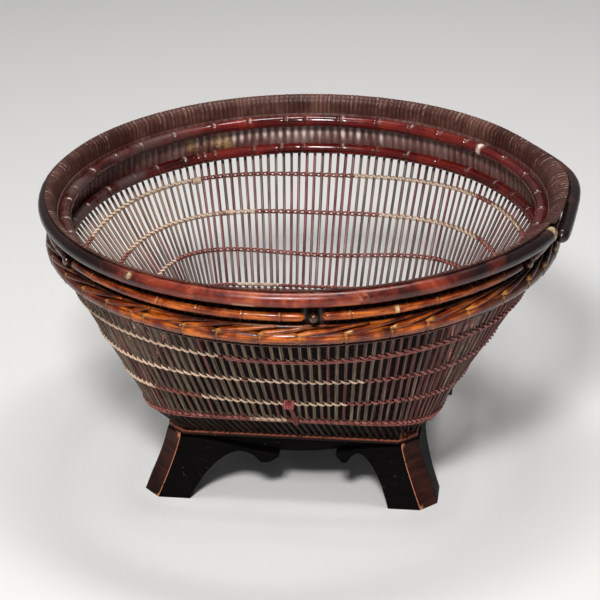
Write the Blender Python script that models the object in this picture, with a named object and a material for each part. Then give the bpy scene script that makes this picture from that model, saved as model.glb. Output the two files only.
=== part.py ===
"""Footed fruit basket of split bamboo: a round rim that runs down to a square foot.

Upright bamboo stakes carry the wall, four twined rows hold them, a stack of bent
hoops makes the rim, and a lacquered wooden stand with bracket feet carries it all.
Metres, +Z up, origin on the floor under the middle of the stand.
The front of the basket faces -Y.
"""
import math

import bmesh
import bpy
from mathutils import Matrix, Vector

# Gaps between pieces
TOUCH = 0.0003
BOW_ROOM = 0.0003

# Rim hoop: one round cane whose ends meet at the right, one of them sprung outward
RIM_DIAMETER = 0.3008
HOOP_DIAMETER = 0.0080
HOOP_LIFT = 0.0012
HOOP_SLACK = 0.0005
HOOP_STEPS = 62
BUTT_AZIMUTH = -17.5
BUTT_SPREAD = 0.0036
BUTT_TAPER_ANGLE = 34.0
TAIL_GAP_ANGLE = 0.5
TAIL_SPREAD = 0.0070
TAIL_DROP = 0.0045
SPRING_AZIMUTH = 9.0
SPRING_OUT = 0.0046
SPRING_ANGLE = 27.0

# Stack of bands on the upright top of the wall, from the shoulder up
ROOT_LIFT = 0.0022
ROOT_HEIGHT = 0.0092
ROOT_DEPTH = 0.0056
ROOT_JOINTS = 40
GROOVE_HEIGHT = 0.0037
SMALL_HOOP_DIAMETER = 0.0040
SMALL_HOOP_MARGIN = 0.0031
SMALL_HOOP_STEPS = 12
BAND_JOINT_GAP = 0.0006
BAND_STEPS = 64

# Lining and hoops inside the rim
LINING_THICKNESS = 0.0008
LINING_LIFT = 0.0006
COLLAR_THICKNESS = 0.0009
COLLAR_SLACK = 0.00015
COLLAR_ANGLES = (178.0, 137.0, 96.0)
INNER_HOOP_DIAMETER = 0.0070
INNER_HOOP_LOW_LIFT = 0.0004
INNER_HOOP_HIGH_DROP = 0.0036
INNER_HOOP_JOINT_AZIMUTH = -90.0

# Pegs through the rim
PEG_AZIMUTHS = (-144.0, -80.8, -27.0, 33.0, 93.0, 155.0)
PEG_DIAMETER = 0.0050
PEG_LENGTH = 0.0066
PEG_ROUNDING = 0.0012
PEG_SIDES = 8

# Wall: its foot and height, and the outline's places as shares of its lean and height
FOOT_HALF = 0.0699
WALL_HEIGHT = 0.0927
KNEE_SHARES = (0.1694, 0.1935)
WAIST_SHARES = (0.6520, 0.6632)
FOOT_SQUARENESS = 10.0
KNEE_SQUARENESS = 7.0
WAIST_SQUARENESS = 2.65
ROUND_SQUARENESS = 2.0

# Stakes: a flat run on each side and a fan on each corner
SIDE_STAKES = 33
CORNER_STAKES = 11
STAKE_WIDTH = 0.0018
STAKE_THICKNESS = 0.0014
CORNER_STAKE_WIDTH = 0.0015
CORNER_FOOT_WIDTH = 0.0011
FLAT_RUN_SHARE = 0.86
SHORT_STAKE_START_SHARE = 0.78

# Twined rows, from the top down: places up the wall as shares of its height
ROW_PLACE_SHARES = (0.8285, 0.6203, 0.3830, 0.1996)
TOP_ROW_HEIGHT = 0.0034
MIDDLE_ROW_HEIGHT = 0.0027
KNEE_ROW_HEIGHT = 0.0046
ROW_HEIGHTS = (TOP_ROW_HEIGHT, MIDDLE_ROW_HEIGHT, MIDDLE_ROW_HEIGHT, KNEE_ROW_HEIGHT)
ROW_CORNER_RISES = (0.0025, 0.0012, 0.0035, 0.0)
ROW_THICKNESS = 0.0015
TIE_OFFSET = 0.0050
TIE_WIDTH = 0.0028
TIE_THICKNESS = 0.0008
TIE_OVERHANG = 0.0022

# Stand: rails, bowed aprons, corner feet and bracket wings
STAND_HEIGHT = 0.0343
RAIL_LIP = 0.0007
RAIL_WIDTH = 0.0150
RAIL_THICKNESS = 0.0024
RAIL_CANT = 0.0090
MAT_THICKNESS = 0.0012
MAT_MARGIN = 0.0012
APRON_EDGE = 0.0012
APRON_BOW = 0.0070
APRON_THICKNESS = 0.0050
APRON_SETBACK = 0.0018
APRON_STEPS = 10
FOOT_SETBACK = 0.0038
FOOT_SPLAY = 0.0120
FOOT_FACE = 0.0130
FOOT_FLARE_POWER = 1.25
FOOT_STEPS = 4
WING_SETIN = 0.0012
WING_FOOT_WIDTH = 0.0184
WING_LEFT_TIP = 0.0065
WING_RIGHT_TIP = 0.0260
# The arch under a wing: shares of the way to its tip, and of the height there
ARCH_SHARES = (
    (0.00, 0.000), (0.08, 0.230), (0.19, 0.470), (0.33, 0.700), (0.47, 0.865),
    (0.58, 0.925), (0.70, 0.895), (0.80, 0.780), (0.90, 0.810), (1.00, 0.935),
)

# Levels of the stand and the wall
RAIL_LOW_LEVEL = STAND_HEIGHT + TOUCH
RAIL_TOP_LEVEL = RAIL_LOW_LEVEL + RAIL_THICKNESS
FOOT_LEVEL = RAIL_TOP_LEVEL + TOUCH
SHOULDER_LEVEL = FOOT_LEVEL + WALL_HEIGHT
KNEE_LEVEL = FOOT_LEVEL + WALL_HEIGHT * KNEE_SHARES[0]
WAIST_LEVEL = FOOT_LEVEL + WALL_HEIGHT * WAIST_SHARES[0]
ROW_LEVELS = [FOOT_LEVEL + WALL_HEIGHT * share for share in ROW_PLACE_SHARES]

# Levels of the rim
ROOT_LEVEL = SHOULDER_LEVEL + ROOT_LIFT + ROOT_HEIGHT / 2
SMALL_HOOP_LEVEL = (
    SHOULDER_LEVEL + ROOT_LIFT + ROOT_HEIGHT + GROOVE_HEIGHT + SMALL_HOOP_DIAMETER / 2
)
STAKE_TOP_LEVEL = SMALL_HOOP_LEVEL + SMALL_HOOP_DIAMETER / 2 + SMALL_HOOP_MARGIN
HOOP_LEVEL = STAKE_TOP_LEVEL + HOOP_LIFT + HOOP_DIAMETER / 2

# Distances from the upright axis
HALF_STAKE = STAKE_THICKNESS / 2
RIM_RADIUS = (RIM_DIAMETER - HOOP_DIAMETER) / 2
RIM_WALL_RADIUS = RIM_RADIUS - HOOP_DIAMETER / 2 - HOOP_SLACK - HALF_STAKE
OUTER_SEAT = RIM_WALL_RADIUS + HALF_STAKE + TOUCH
LINING_OUTER = RIM_WALL_RADIUS - HALF_STAKE - TOUCH
INNER_SEAT = LINING_OUTER - LINING_THICKNESS - TOUCH
KNEE_HALF = FOOT_HALF + (RIM_WALL_RADIUS - FOOT_HALF) * KNEE_SHARES[1]
WAIST_HALF = FOOT_HALF + (RIM_WALL_RADIUS - FOOT_HALF) * WAIST_SHARES[1]
RAIL_HALF = FOOT_HALF + HALF_STAKE + RAIL_LIP
FOOT_TOP_REACH = RAIL_HALF - FOOT_SETBACK
FOOT_RUN = FOOT_FACE / math.sqrt(2)
FOOT_CANT = FOOT_RUN / 2
WING_THICKNESS = FOOT_RUN - WING_SETIN
WING_FOOT_INNER = FOOT_TOP_REACH + FOOT_SPLAY - FOOT_CANT - WING_FOOT_WIDTH

# Numbers of stakes
STAKE_ANGLE = 90.0 / (SIDE_STAKES + CORNER_STAKES)
SIDE_REACH = (SIDE_STAKES - 1) // 2
CORNER_REACH = (CORNER_STAKES - 1) // 2

# Outline of the wall by level: height, half width, squareness
LEVELS = (
    (FOOT_LEVEL, FOOT_HALF, FOOT_SQUARENESS),
    (KNEE_LEVEL, KNEE_HALF, KNEE_SQUARENESS),
    (WAIST_LEVEL, WAIST_HALF, WAIST_SQUARENESS),
    (SHOULDER_LEVEL, RIM_WALL_RADIUS, ROUND_SQUARENESS),
)

SIDE_NAMES = ("front", "right", "back", "left")
CORNER_NAMES = ("front_right", "back_right", "back_left", "front_left")
UP = Vector((0.0, 0.0, 1.0))

# Colours, roughness and metallic value of each finish
FINISHES = {
    "red_lacquer": ((0.170, 0.026, 0.018, 1.0), 0.30, 0.0),
    "dark_cane": ((0.085, 0.024, 0.018, 1.0), 0.28, 0.0),
    "amber_bamboo": ((0.400, 0.120, 0.025, 1.0), 0.32, 0.0),
    "brown_stake": ((0.120, 0.052, 0.045, 1.0), 0.50, 0.0),
    "tan_twine": ((0.300, 0.130, 0.090, 1.0), 0.55, 0.0),
    "black_lacquer": ((0.030, 0.014, 0.010, 1.0), 0.35, 0.0),
    "brown_lacquer": ((0.090, 0.032, 0.018, 1.0), 0.35, 0.0),
}


def clear_scene():
    """Remove every object, so that the script can run again from an open file."""
    for item in list(bpy.data.objects):
        bpy.data.objects.remove(item, do_unlink=True)


def make_material(name, finish):
    """One Principled material in the finish of the table above."""
    colour, roughness, metallic = FINISHES[finish]
    material = bpy.data.materials.new(name)
    material.use_nodes = True
    shader = material.node_tree.nodes["Principled BSDF"]
    shader.inputs["Base Color"].default_value = colour
    shader.inputs["Roughness"].default_value = roughness
    shader.inputs["Metallic"].default_value = metallic
    material.diffuse_color = colour
    return material


class Shape:
    """Collects the faces of one closed body and turns them into objects."""

    def __init__(self):
        self.mesh = bmesh.new()

    def points(self, places):
        """New vertices at these places."""
        return [self.mesh.verts.new(place) for place in places]

    def wall(self, here, there):
        """Faces between two closed loops of vertices."""
        for k, vertex in enumerate(here):
            after = (k + 1) % len(here)
            self.mesh.faces.new((vertex, here[after], there[after], there[k]))

    def loft(self, sections, closed=False):
        """A skin over sections of equal point counts, capped at its ends or run round."""
        rows = [self.points(section) for section in sections]
        for here, there in zip(rows, rows[1:]):
            self.wall(here, there)
        if closed:
            self.wall(rows[-1], rows[0])
        else:
            self.cap(list(reversed(rows[0])))
            self.cap(rows[-1])

    def cap(self, rim):
        """Close an end whose rim runs out along one side and back along the other."""
        for k in range(len(rim) // 2 - 1):
            self.mesh.faces.new((rim[k], rim[k + 1], rim[-2 - k], rim[-1 - k]))

    def extrude(self, outline, height):
        """A prism: a face over the outline, drawn up by the height."""
        face = self.mesh.faces.new(self.points(outline))
        drawn = bmesh.ops.extrude_face_region(self.mesh, geom=[face])["geom"]
        risen = [item for item in drawn if isinstance(item, bmesh.types.BMVert)]
        bmesh.ops.translate(self.mesh, verts=risen, vec=(0.0, 0.0, height))

    def spin(self, profile):
        """A ring turned from a closed profile of (radius, level) points."""
        rim = self.points([(radius, 0.0, level) for radius, level in profile])
        edges = [self.mesh.edges.new((a, b)) for a, b in zip(rim, rim[1:] + rim[:1])]
        bmesh.ops.spin(self.mesh, geom=rim + edges, cent=(0.0, 0.0, 0.0), axis=(0.0, 0.0, 1.0),
                       angle=2 * math.pi, steps=BAND_STEPS, use_merge=True)

    def finish(self, sharp_angle=40.0):
        """The collected faces as mesh data with outward normals, smooth where round."""
        bmesh.ops.recalc_face_normals(self.mesh, faces=self.mesh.faces)
        data = bpy.data.meshes.new("shape")
        self.mesh.to_mesh(data)
        self.mesh.free()
        data.shade_smooth()
        data.set_sharp_from_angle(angle=math.radians(sharp_angle))
        return data


def place(name, data, finish, turn=0.0):
    """A named object with its own material, turned about the upright axis."""
    data = data.copy()
    data.name = name
    data.materials.clear()
    data.materials.append(make_material(name, finish))
    item = bpy.data.objects.new(name, data)
    item.rotation_euler.z = math.radians(turn)
    bpy.context.collection.objects.link(item)
    return item


def place_on_sides(prefix, data, finish):
    """The same piece on each of the four sides, from its shape on the front."""
    for side, side_name in enumerate(SIDE_NAMES):
        place(f"{prefix}_{side_name}", data, finish, turn=90.0 * side)


def place_on_corners(prefix, data, finish):
    """The same piece on each of the four corners, from its shape at the front right."""
    for corner, corner_name in enumerate(CORNER_NAMES):
        place(f"{prefix}_{corner_name}", data, finish, turn=90.0 * corner)


def make_tube(name, finish, path, diameter, resolution):
    """A cane bent along a path: a curve with a round bevel and closed ends."""
    curve = bpy.data.curves.new(name, "CURVE")
    curve.dimensions = "3D"
    curve.bevel_depth = diameter / 2
    curve.bevel_resolution = resolution
    curve.use_fill_caps = True
    spline = curve.splines.new("POLY")
    spline.points.add(len(path) - 1)
    for point, where in zip(spline.points, path):
        point.co = (*where, 1.0)
    spline.use_smooth = True
    curve.materials.append(make_material(name, finish))
    item = bpy.data.objects.new(name, curve)
    bpy.context.collection.objects.link(item)
    return item


def turn_to_side(point, side):
    """Move a point of the front side to side 0 front, 1 right, 2 back or 3 left."""
    return Matrix.Rotation(math.radians(90.0 * side), 3, "Z") @ point


def polar(radius, azimuth, level):
    """A point from its distance to the upright axis, its azimuth in degrees and its height."""
    angle = math.radians(azimuth)
    return Vector((radius * math.cos(angle), radius * math.sin(angle), level))


def outline_depth(across, half, squareness):
    """How far the rounded square lies from the middle at this place along its side."""
    share = min(abs(across) / half, 1.0)
    return half * (1.0 - share ** squareness) ** (1.0 / squareness)


def outline_radius(angle, half, squareness):
    """Distance from the middle to the rounded square, at an angle from the side's normal."""
    total = abs(math.cos(angle)) ** squareness + abs(math.sin(angle)) ** squareness
    return half / total ** (1.0 / squareness)


def level_shape(level):
    """Half width and squareness of the wall at a height."""
    for low, high in zip(LEVELS, LEVELS[1:]):
        if level <= high[0]:
            rise = max((level - low[0]) / (high[0] - low[0]), 0.0)
            return low[1] + (high[1] - low[1]) * rise, low[2] + (high[2] - low[2]) * rise
    return LEVELS[-1][1], LEVELS[-1][2]


def facing(point):
    """The wall's level outward direction at a point of the front side or its right corner."""
    half, squareness = level_shape(point.z)
    slope_x = math.copysign(abs(point.x / half) ** (squareness - 1.0), point.x)
    slope_y = math.copysign(abs(point.y / half) ** (squareness - 1.0), point.y)
    return Vector((slope_x, slope_y, 0.0)).normalized()


def wall_directions(point, run):
    """Along the wall, square out of it, and up it, at a point where a stake runs this way."""
    sideways = UP.cross(facing(point))
    normal = run.cross(sideways).normalized()
    if normal.dot(facing(point)) < 0.0:
        normal.negate()
    return sideways, normal, sideways.cross(normal)


def side_stake_across(index, level):
    """How far a side stake stands from the middle of its side: it leans outward evenly."""
    low = index / SIDE_REACH * FLAT_RUN_SHARE * FOOT_HALF
    high = RIM_WALL_RADIUS * math.sin(math.radians(index * STAKE_ANGLE))
    return low + (high - low) * (level - FOOT_LEVEL) / WALL_HEIGHT


def side_stake_path(index):
    """Points of a stake on the front side, from the foot to the shoulder of the wall."""
    path = []
    for level, half, squareness in LEVELS:
        across = side_stake_across(index, level)
        path.append(Vector((across, -outline_depth(across, half, squareness), level)))
    return path


def corner_stake_path(index):
    """Points of a stake on the front right corner; index 0 stands on the diagonal."""
    path = []
    for level, half, squareness in LEVELS:
        across = side_stake_across(SIDE_REACH, level)
        depth = outline_depth(across, half, squareness)
        fan = math.pi / 4 - math.atan2(across, depth)
        angle = math.pi / 4 + fan * index / (CORNER_REACH + 1)
        radius = outline_radius(angle, half, squareness)
        path.append(Vector((radius * math.sin(angle), -radius * math.cos(angle), level)))
    if index % 2:
        path[0] = path[0].lerp(path[1], SHORT_STAKE_START_SHARE)
    return path


def stake_sections(path, widths):
    """Sections across a stake below the shoulder: the lowest one level, the others square."""
    sections = []
    for i, width in enumerate(widths):
        ahead = (path[i + 1] - path[i]).normalized()
        behind = (path[i] - path[i - 1]).normalized() if i else ahead
        sideways, normal, _ = wall_directions(path[i], (ahead + behind).normalized())
        across = sideways * (width / 2)
        through = normal * HALF_STAKE
        if i == 0:
            outward = facing(path[i])
            through = outward * (HALF_STAKE / normal.dot(outward))
        sections.append([path[i] - across - through, path[i] + across - through,
                         path[i] + across + through, path[i] - across + through])
    return sections


def band_section(azimuth, level):
    """Inner and outer point of the upright rim wall at one azimuth."""
    return [polar(RIM_WALL_RADIUS - HALF_STAKE, azimuth, level),
            polar(RIM_WALL_RADIUS + HALF_STAKE, azimuth, level)]


def make_comb(stakes, first_azimuth):
    """Stakes hanging from the slice of upright rim wall that holds their tops together.

    Each stake is its sections from the foot up and its width at the shoulder.
    """
    shape = Shape()
    gap_angle = math.degrees(TOUCH / 2 / RIM_WALL_RADIUS)
    span = len(stakes) * STAKE_ANGLE
    places = [first_azimuth + gap_angle]
    for i, (_, width) in enumerate(stakes):
        middle = first_azimuth + STAKE_ANGLE * (i + 1.0 / 2)
        half_angle = math.degrees(width / 2 / RIM_WALL_RADIUS)
        places += [middle - half_angle, middle + half_angle]
    places.append(first_azimuth + span - gap_angle)
    low = [shape.points(band_section(place, SHOULDER_LEVEL)) for place in places]
    high = [shape.points(band_section(place, STAKE_TOP_LEVEL)) for place in places]
    faces = shape.mesh.faces
    for i in range(len(places) - 1):
        faces.new((low[i][1], low[i + 1][1], high[i + 1][1], high[i][1]))
        faces.new((low[i + 1][0], low[i][0], high[i][0], high[i + 1][0]))
        faces.new((high[i][0], high[i][1], high[i + 1][1], high[i + 1][0]))
        if i % 2 == 0:
            faces.new((low[i][0], low[i + 1][0], low[i + 1][1], low[i][1]))
    faces.new((low[0][0], low[0][1], high[0][1], high[0][0]))
    faces.new((low[-1][1], low[-1][0], high[-1][0], high[-1][1]))
    for i, (sections, _) in enumerate(stakes):
        near = low[2 * i + 1]
        far = low[2 * i + 2]
        rows = [shape.points(section) for section in sections]
        rows.append([near[0], far[0], far[1], near[1]])
        for here, there in zip(rows, rows[1:]):
            shape.wall(here, there)
        faces.new(list(reversed(rows[0])))
    return shape.finish()


def corner_widths(path):
    """Corner stakes are trimmed narrower towards the foot."""
    rise = (path[0].z - FOOT_LEVEL) / (KNEE_LEVEL - FOOT_LEVEL)
    first = CORNER_FOOT_WIDTH + (CORNER_STAKE_WIDTH - CORNER_FOOT_WIDTH) * rise
    return [first] + [CORNER_STAKE_WIDTH] * (len(path) - 2)


def make_stakes():
    """A comb of stakes on each side and a fan of stakes on each corner."""
    side = []
    for index in range(-SIDE_REACH, SIDE_REACH + 1):
        path = side_stake_path(index)
        side.append((stake_sections(path, [STAKE_WIDTH] * (len(path) - 1)), STAKE_WIDTH))
    half_span = len(side) * STAKE_ANGLE / 2
    place_on_sides("stakes", make_comb(side, -90.0 - half_span), "brown_stake")
    corner = []
    for index in range(-CORNER_REACH, CORNER_REACH + 1):
        path = corner_stake_path(index)
        corner.append((stake_sections(path, corner_widths(path)), CORNER_STAKE_WIDTH))
    half_span = len(corner) * STAKE_ANGLE / 2
    place_on_corners("stakes_corner", make_comb(corner, -45.0 - half_span), "brown_stake")


def point_on_path(path, level):
    """Where a stake crosses a height, with the direction it runs there."""
    for low, high in zip(path, path[1:]):
        if level <= high.z:
            share = (level - low.z) / (high.z - low.z)
            return low.lerp(high, share), (high - low).normalized()
    return path[-1], (path[-1] - path[-2]).normalized()


def row_stations(middle_level, corner_rise):
    """Places round the wall where a twined row turns: point, outward normal and upward run.

    A row runs higher over the corners than over the middles of the sides.
    """
    paths = [side_stake_path(k) for k in range(1 - SIDE_REACH, SIDE_REACH, 3)]
    paths += [corner_stake_path(k) for k in range(-CORNER_REACH, CORNER_REACH + 1, 2)]
    front = []
    for path in paths:
        point, _ = point_on_path(path, middle_level)
        turned = math.atan2(point.x, -point.y)
        rise = corner_rise * math.sin(2 * turned) ** 2
        point, run = point_on_path(path, middle_level + rise)
        _, normal, up = wall_directions(point, run)
        front.append((point, normal, up))
    stations = []
    for side in range(len(SIDE_NAMES)):
        stations += [[turn_to_side(v, side) for v in station] for station in front]
    return stations


def make_rows():
    """Each twined row is a strand outside the stakes and a strand inside them."""
    rows = zip(ROW_LEVELS, ROW_HEIGHTS, ROW_CORNER_RISES)
    for number, (level, height, corner_rise) in enumerate(rows):
        stations = row_stations(level, corner_rise)
        for way, way_name, bow in ((1.0, "outer", BOW_ROOM), (-1.0, "inner", 0.0)):
            seat = HALF_STAKE + TOUCH + bow
            sections = []
            for point, normal, up in stations:
                back = point + normal * (way * seat)
                crest = point + normal * (way * (seat + ROW_THICKNESS))
                sections.append([back - up * (height / 2), crest, back + up * (height / 2)])
            shape = Shape()
            shape.loft(sections, closed=True)
            place(f"twine_row_{number + 1}_{way_name}", shape.finish(60.0), "tan_twine")


def make_wall_tie():
    """A flat lashing strip outside the two lowest rows, just right of the front's middle."""
    top = ROW_LEVELS[2] + ROW_HEIGHTS[2] / 2 + TIE_OVERHANG
    bottom = ROW_LEVELS[3] - ROW_HEIGHTS[3] / 2 - TIE_OVERHANG
    seat = HALF_STAKE + TOUCH + BOW_ROOM + ROW_THICKNESS + TOUCH
    run = Vector((0.0, KNEE_HALF - RIM_WALL_RADIUS, SHOULDER_LEVEL - KNEE_LEVEL)).normalized()
    sections = []
    for level in (bottom, ROW_LEVELS[3], ROW_LEVELS[2], top):
        half, squareness = level_shape(level)
        middle = Vector((TIE_OFFSET, -outline_depth(TIE_OFFSET, half, squareness), level))
        _, normal, _ = wall_directions(middle, run)
        across = Vector((TIE_WIDTH / 2, 0.0, 0.0))
        back = middle + normal * seat
        front = middle + normal * (seat + TIE_THICKNESS)
        sections.append([back - across, back + across, front + across, front - across])
    shape = Shape()
    shape.loft(sections)
    place("wall_tie", shape.finish(), "red_lacquer")


def smooth_step(share):
    """Eases from 0 to 1."""
    share = min(max(share, 0.0), 1.0)
    return share * share * (3.0 - 2.0 * share)


def hoop_place(turned):
    """Centre radius and level of the rim hoop, by the degrees turned from its butt end.

    The cane runs from the butt along the front, round by the left and the back, and comes
    home at the right, where its tail has sprung outward and ends a little below the butt.
    """
    full = 360.0 - TAIL_GAP_ANGLE
    to_spring = BUTT_AZIMUTH - SPRING_AZIMUTH + 360.0
    butt = 1.0 - smooth_step(turned / BUTT_TAPER_ANGLE)
    rise = smooth_step(1.0 - abs(turned - to_spring) / SPRING_ANGLE)
    tail = smooth_step((turned - to_spring) / (full - to_spring))
    out = SPRING_OUT * rise * (1.0 - tail) + TAIL_SPREAD * tail
    return RIM_RADIUS + BUTT_SPREAD * butt + out, HOOP_LEVEL - TAIL_DROP * tail


def make_rim_hoop():
    """The round cane of the rim, as one open hoop."""
    full = 360.0 - TAIL_GAP_ANGLE
    path = []
    for i in range(HOOP_STEPS + 1):
        turned = full * i / HOOP_STEPS
        radius, level = hoop_place(turned)
        path.append(polar(radius, BUTT_AZIMUTH - turned, level))
    make_tube("rim_hoop", "dark_cane", path, HOOP_DIAMETER, 2)


def make_rim_collar():
    """The lacquered collar over the stake ends, wrapped over the inner top of the hoop."""
    seat = HOOP_DIAMETER / 2 + TOUCH + COLLAR_SLACK
    low = STAKE_TOP_LEVEL + TOUCH
    outer = [(RIM_WALL_RADIUS + HALF_STAKE, low)]
    inner = [(RIM_WALL_RADIUS - HALF_STAKE, low)]
    for angle in COLLAR_ANGLES:
        turn = math.radians(angle)
        for line, reach in ((outer, seat), (inner, seat + COLLAR_THICKNESS)):
            line.append((RIM_RADIUS + reach * math.cos(turn), HOOP_LEVEL + reach * math.sin(turn)))
    shape = Shape()
    shape.spin(outer + list(reversed(inner)))
    place("rim_collar", shape.finish(), "red_lacquer")


def make_rim_lining():
    """The lacquered lining inside the upright rim wall."""
    low = SHOULDER_LEVEL + LINING_LIFT
    inner = LINING_OUTER - LINING_THICKNESS
    shape = Shape()
    shape.spin([(inner, low), (LINING_OUTER, low),
                (LINING_OUTER, STAKE_TOP_LEVEL), (inner, STAKE_TOP_LEVEL)])
    place("rim_lining", shape.finish(), "red_lacquer")


def ring_path(radius, level, start, end, steps):
    """Points of an arc about the upright axis."""
    return [polar(radius, start + (end - start) * i / steps, level) for i in range(steps + 1)]


def make_inner_hoops():
    """Two red hoops of knotted bamboo inside the lining, each with its joint at the front."""
    centre = INNER_SEAT - INNER_HOOP_DIAMETER / 2
    joint = math.degrees(BAND_JOINT_GAP / centre) / 2
    for name, level in (("inner_hoop_low", SHOULDER_LEVEL + INNER_HOOP_LOW_LIFT),
                        ("inner_hoop_high", STAKE_TOP_LEVEL - INNER_HOOP_HIGH_DROP)):
        start = INNER_HOOP_JOINT_AZIMUTH + joint
        end = INNER_HOOP_JOINT_AZIMUTH + 360.0 - joint
        path = ring_path(centre, level, start, end, BAND_STEPS)
        make_tube(name, "red_lacquer", path, INNER_HOOP_DIAMETER, 1)


def make_root_band():
    """The amber band of knotted bamboo root: it swells at each of its joints."""
    swell_shares = (1.0, 0.90)
    profile_shares = ((0.0, -0.44), (0.55, -0.50), (1.0, -0.18),
                      (0.92, 0.26), (0.45, 0.50), (0.0, 0.44))
    steps = 2 * ROOT_JOINTS
    joint = math.degrees(BAND_JOINT_GAP / OUTER_SEAT) / 2
    sections = []
    for i in range(steps + 1):
        azimuth = 90.0 + joint + (360.0 - 2 * joint) * i / steps
        swell = swell_shares[i % 2]
        section = []
        for out_share, up_share in profile_shares:
            out = OUTER_SEAT + ROOT_DEPTH * out_share * swell
            section.append(polar(out, azimuth, ROOT_LEVEL + ROOT_HEIGHT * up_share * swell))
        sections.append(section)
    shape = Shape()
    shape.loft(sections)
    place("root_band", shape.finish(70.0), "amber_bamboo")


def make_small_hoops():
    """Slender bamboo strips under the rim hoop, each running from one peg to the next."""
    centre = OUTER_SEAT + SMALL_HOOP_DIAMETER / 2
    clear_angle = math.degrees((PEG_DIAMETER / 2 + TOUCH) / centre)
    count = len(PEG_AZIMUTHS)
    for number, start in enumerate(PEG_AZIMUTHS):
        end = PEG_AZIMUTHS[(number + 1) % count]
        if end < start:
            end += 360.0
        path = ring_path(centre, SMALL_HOOP_LEVEL, start + clear_angle, end - clear_angle,
                         SMALL_HOOP_STEPS)
        make_tube(f"small_hoop_{number + 1}", "amber_bamboo", path, SMALL_HOOP_DIAMETER, 1)


def make_pegs():
    """Six bamboo pegs in the rim wall, each with a rounded outer end."""
    for number, azimuth in enumerate(PEG_AZIMUTHS):
        shape = Shape()
        turned = Matrix.Rotation(math.radians(90.0), 4, "Y")
        lift = Matrix.Translation((OUTER_SEAT + PEG_LENGTH / 2, 0.0, SMALL_HOOP_LEVEL))
        bmesh.ops.create_cone(shape.mesh, cap_ends=True, segments=PEG_SIDES,
                              radius1=PEG_DIAMETER / 2, radius2=PEG_DIAMETER / 2,
                              depth=PEG_LENGTH, matrix=lift @ turned)
        outer_end = OUTER_SEAT + PEG_LENGTH - PEG_ROUNDING
        rim = [edge for edge in shape.mesh.edges if all(v.co.x > outer_end for v in edge.verts)]
        bmesh.ops.bevel(shape.mesh, geom=rim, offset=PEG_ROUNDING, segments=1, affect="EDGES")
        place(f"rim_peg_{number + 1}", shape.finish(), "amber_bamboo", turn=azimuth)


def make_rails():
    """Four mitred rails whose outer corners are cut to the rounded foot of the wall."""
    inner = RAIL_HALF - RAIL_WIDTH
    cut = RAIL_HALF - RAIL_CANT / 2
    mitre = TOUCH / math.sqrt(2)
    half_outline = ((RAIL_HALF - RAIL_CANT, -RAIL_HALF), (cut - mitre, -cut),
                    (inner - mitre, -inner))
    outline = [(x, y, RAIL_LOW_LEVEL) for x, y in half_outline]
    outline += [(-x, y, RAIL_LOW_LEVEL) for x, y in reversed(half_outline)]
    shape = Shape()
    shape.extrude(outline, RAIL_THICKNESS)
    place_on_sides("stand_rail", shape.finish(), "red_lacquer")


def make_floor_mat():
    """The woven floor of the basket, laid on the rails inside the feet of the stakes."""
    half = FOOT_HALF - STAKE_THICKNESS - MAT_MARGIN
    corner = half - RAIL_CANT
    low = RAIL_TOP_LEVEL + TOUCH
    outline = []
    for side in range(len(SIDE_NAMES)):
        outline.append(turn_to_side(Vector((-corner, -half, low)), side))
        outline.append(turn_to_side(Vector((corner, -half, low)), side))
    shape = Shape()
    shape.extrude(outline, MAT_THICKNESS)
    place("floor_mat", shape.finish(), "brown_stake")


def foot_reach(level):
    """How far the middle of a foot's outer face stands out along each side, by height.

    The splay is a curve made of straight runs, so that a wing's end lies flat on its foot.
    """
    place = min(max(level / STAND_HEIGHT, 0.0), 1.0) * FOOT_STEPS
    step = min(int(place), FOOT_STEPS - 1)
    lower, upper = [(1.0 - i / FOOT_STEPS) ** FOOT_FLARE_POWER for i in (step, step + 1)]
    return FOOT_TOP_REACH + FOOT_SPLAY * (lower + (upper - lower) * (place - step))


def apron_edge(across):
    """Height of the bowed lower edge of an apron."""
    span = FOOT_TOP_REACH - FOOT_CANT
    bow = math.cos(math.pi / 2 * min(abs(across) / span, 1.0)) ** 2
    return STAND_HEIGHT - APRON_EDGE - APRON_BOW * bow


def make_aprons():
    """Boards under the rails, bowed along their lower edge, between the corner feet."""
    face = RAIL_HALF - APRON_SETBACK
    back = face - APRON_THICKNESS
    reach = FOOT_TOP_REACH - FOOT_CANT - TOUCH
    sections = []
    for i in range(APRON_STEPS + 1):
        across = reach * (2.0 * i / APRON_STEPS - 1.0)
        low = apron_edge(across)
        sections.append([(across, -face, low), (across, -back, low),
                         (across, -back, STAND_HEIGHT), (across, -face, STAND_HEIGHT)])
    shape = Shape()
    shape.loft(sections)
    place_on_sides("apron", shape.finish(), "black_lacquer")


def make_feet():
    """Four corner feet: their outer face lies across the corner and splays to the floor."""
    sections = []
    for i in range(FOOT_STEPS + 1):
        level = STAND_HEIGHT * i / FOOT_STEPS
        near = foot_reach(level) - FOOT_CANT
        far = foot_reach(level) + FOOT_CANT
        deep = far - WING_THICKNESS
        sections.append([(near, -far, level), (far, -near, level),
                         (deep, -near, level), (near, -deep, level)])
    shape = Shape()
    shape.loft(sections)
    place_on_corners("foot", shape.finish(), "brown_lacquer")


def wing_section(levels, across=None):
    """An upright section of a wing; without a place across it lies against the foot."""
    front = []
    back = []
    for level in levels:
        reach = foot_reach(level)
        place_across = reach - FOOT_CANT - TOUCH if across is None else across
        front.append(Vector((place_across, -reach - FOOT_CANT, level)))
        back.append(Vector((place_across, -reach - FOOT_CANT + WING_THICKNESS, level)))
    return front + list(reversed(back))


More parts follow.
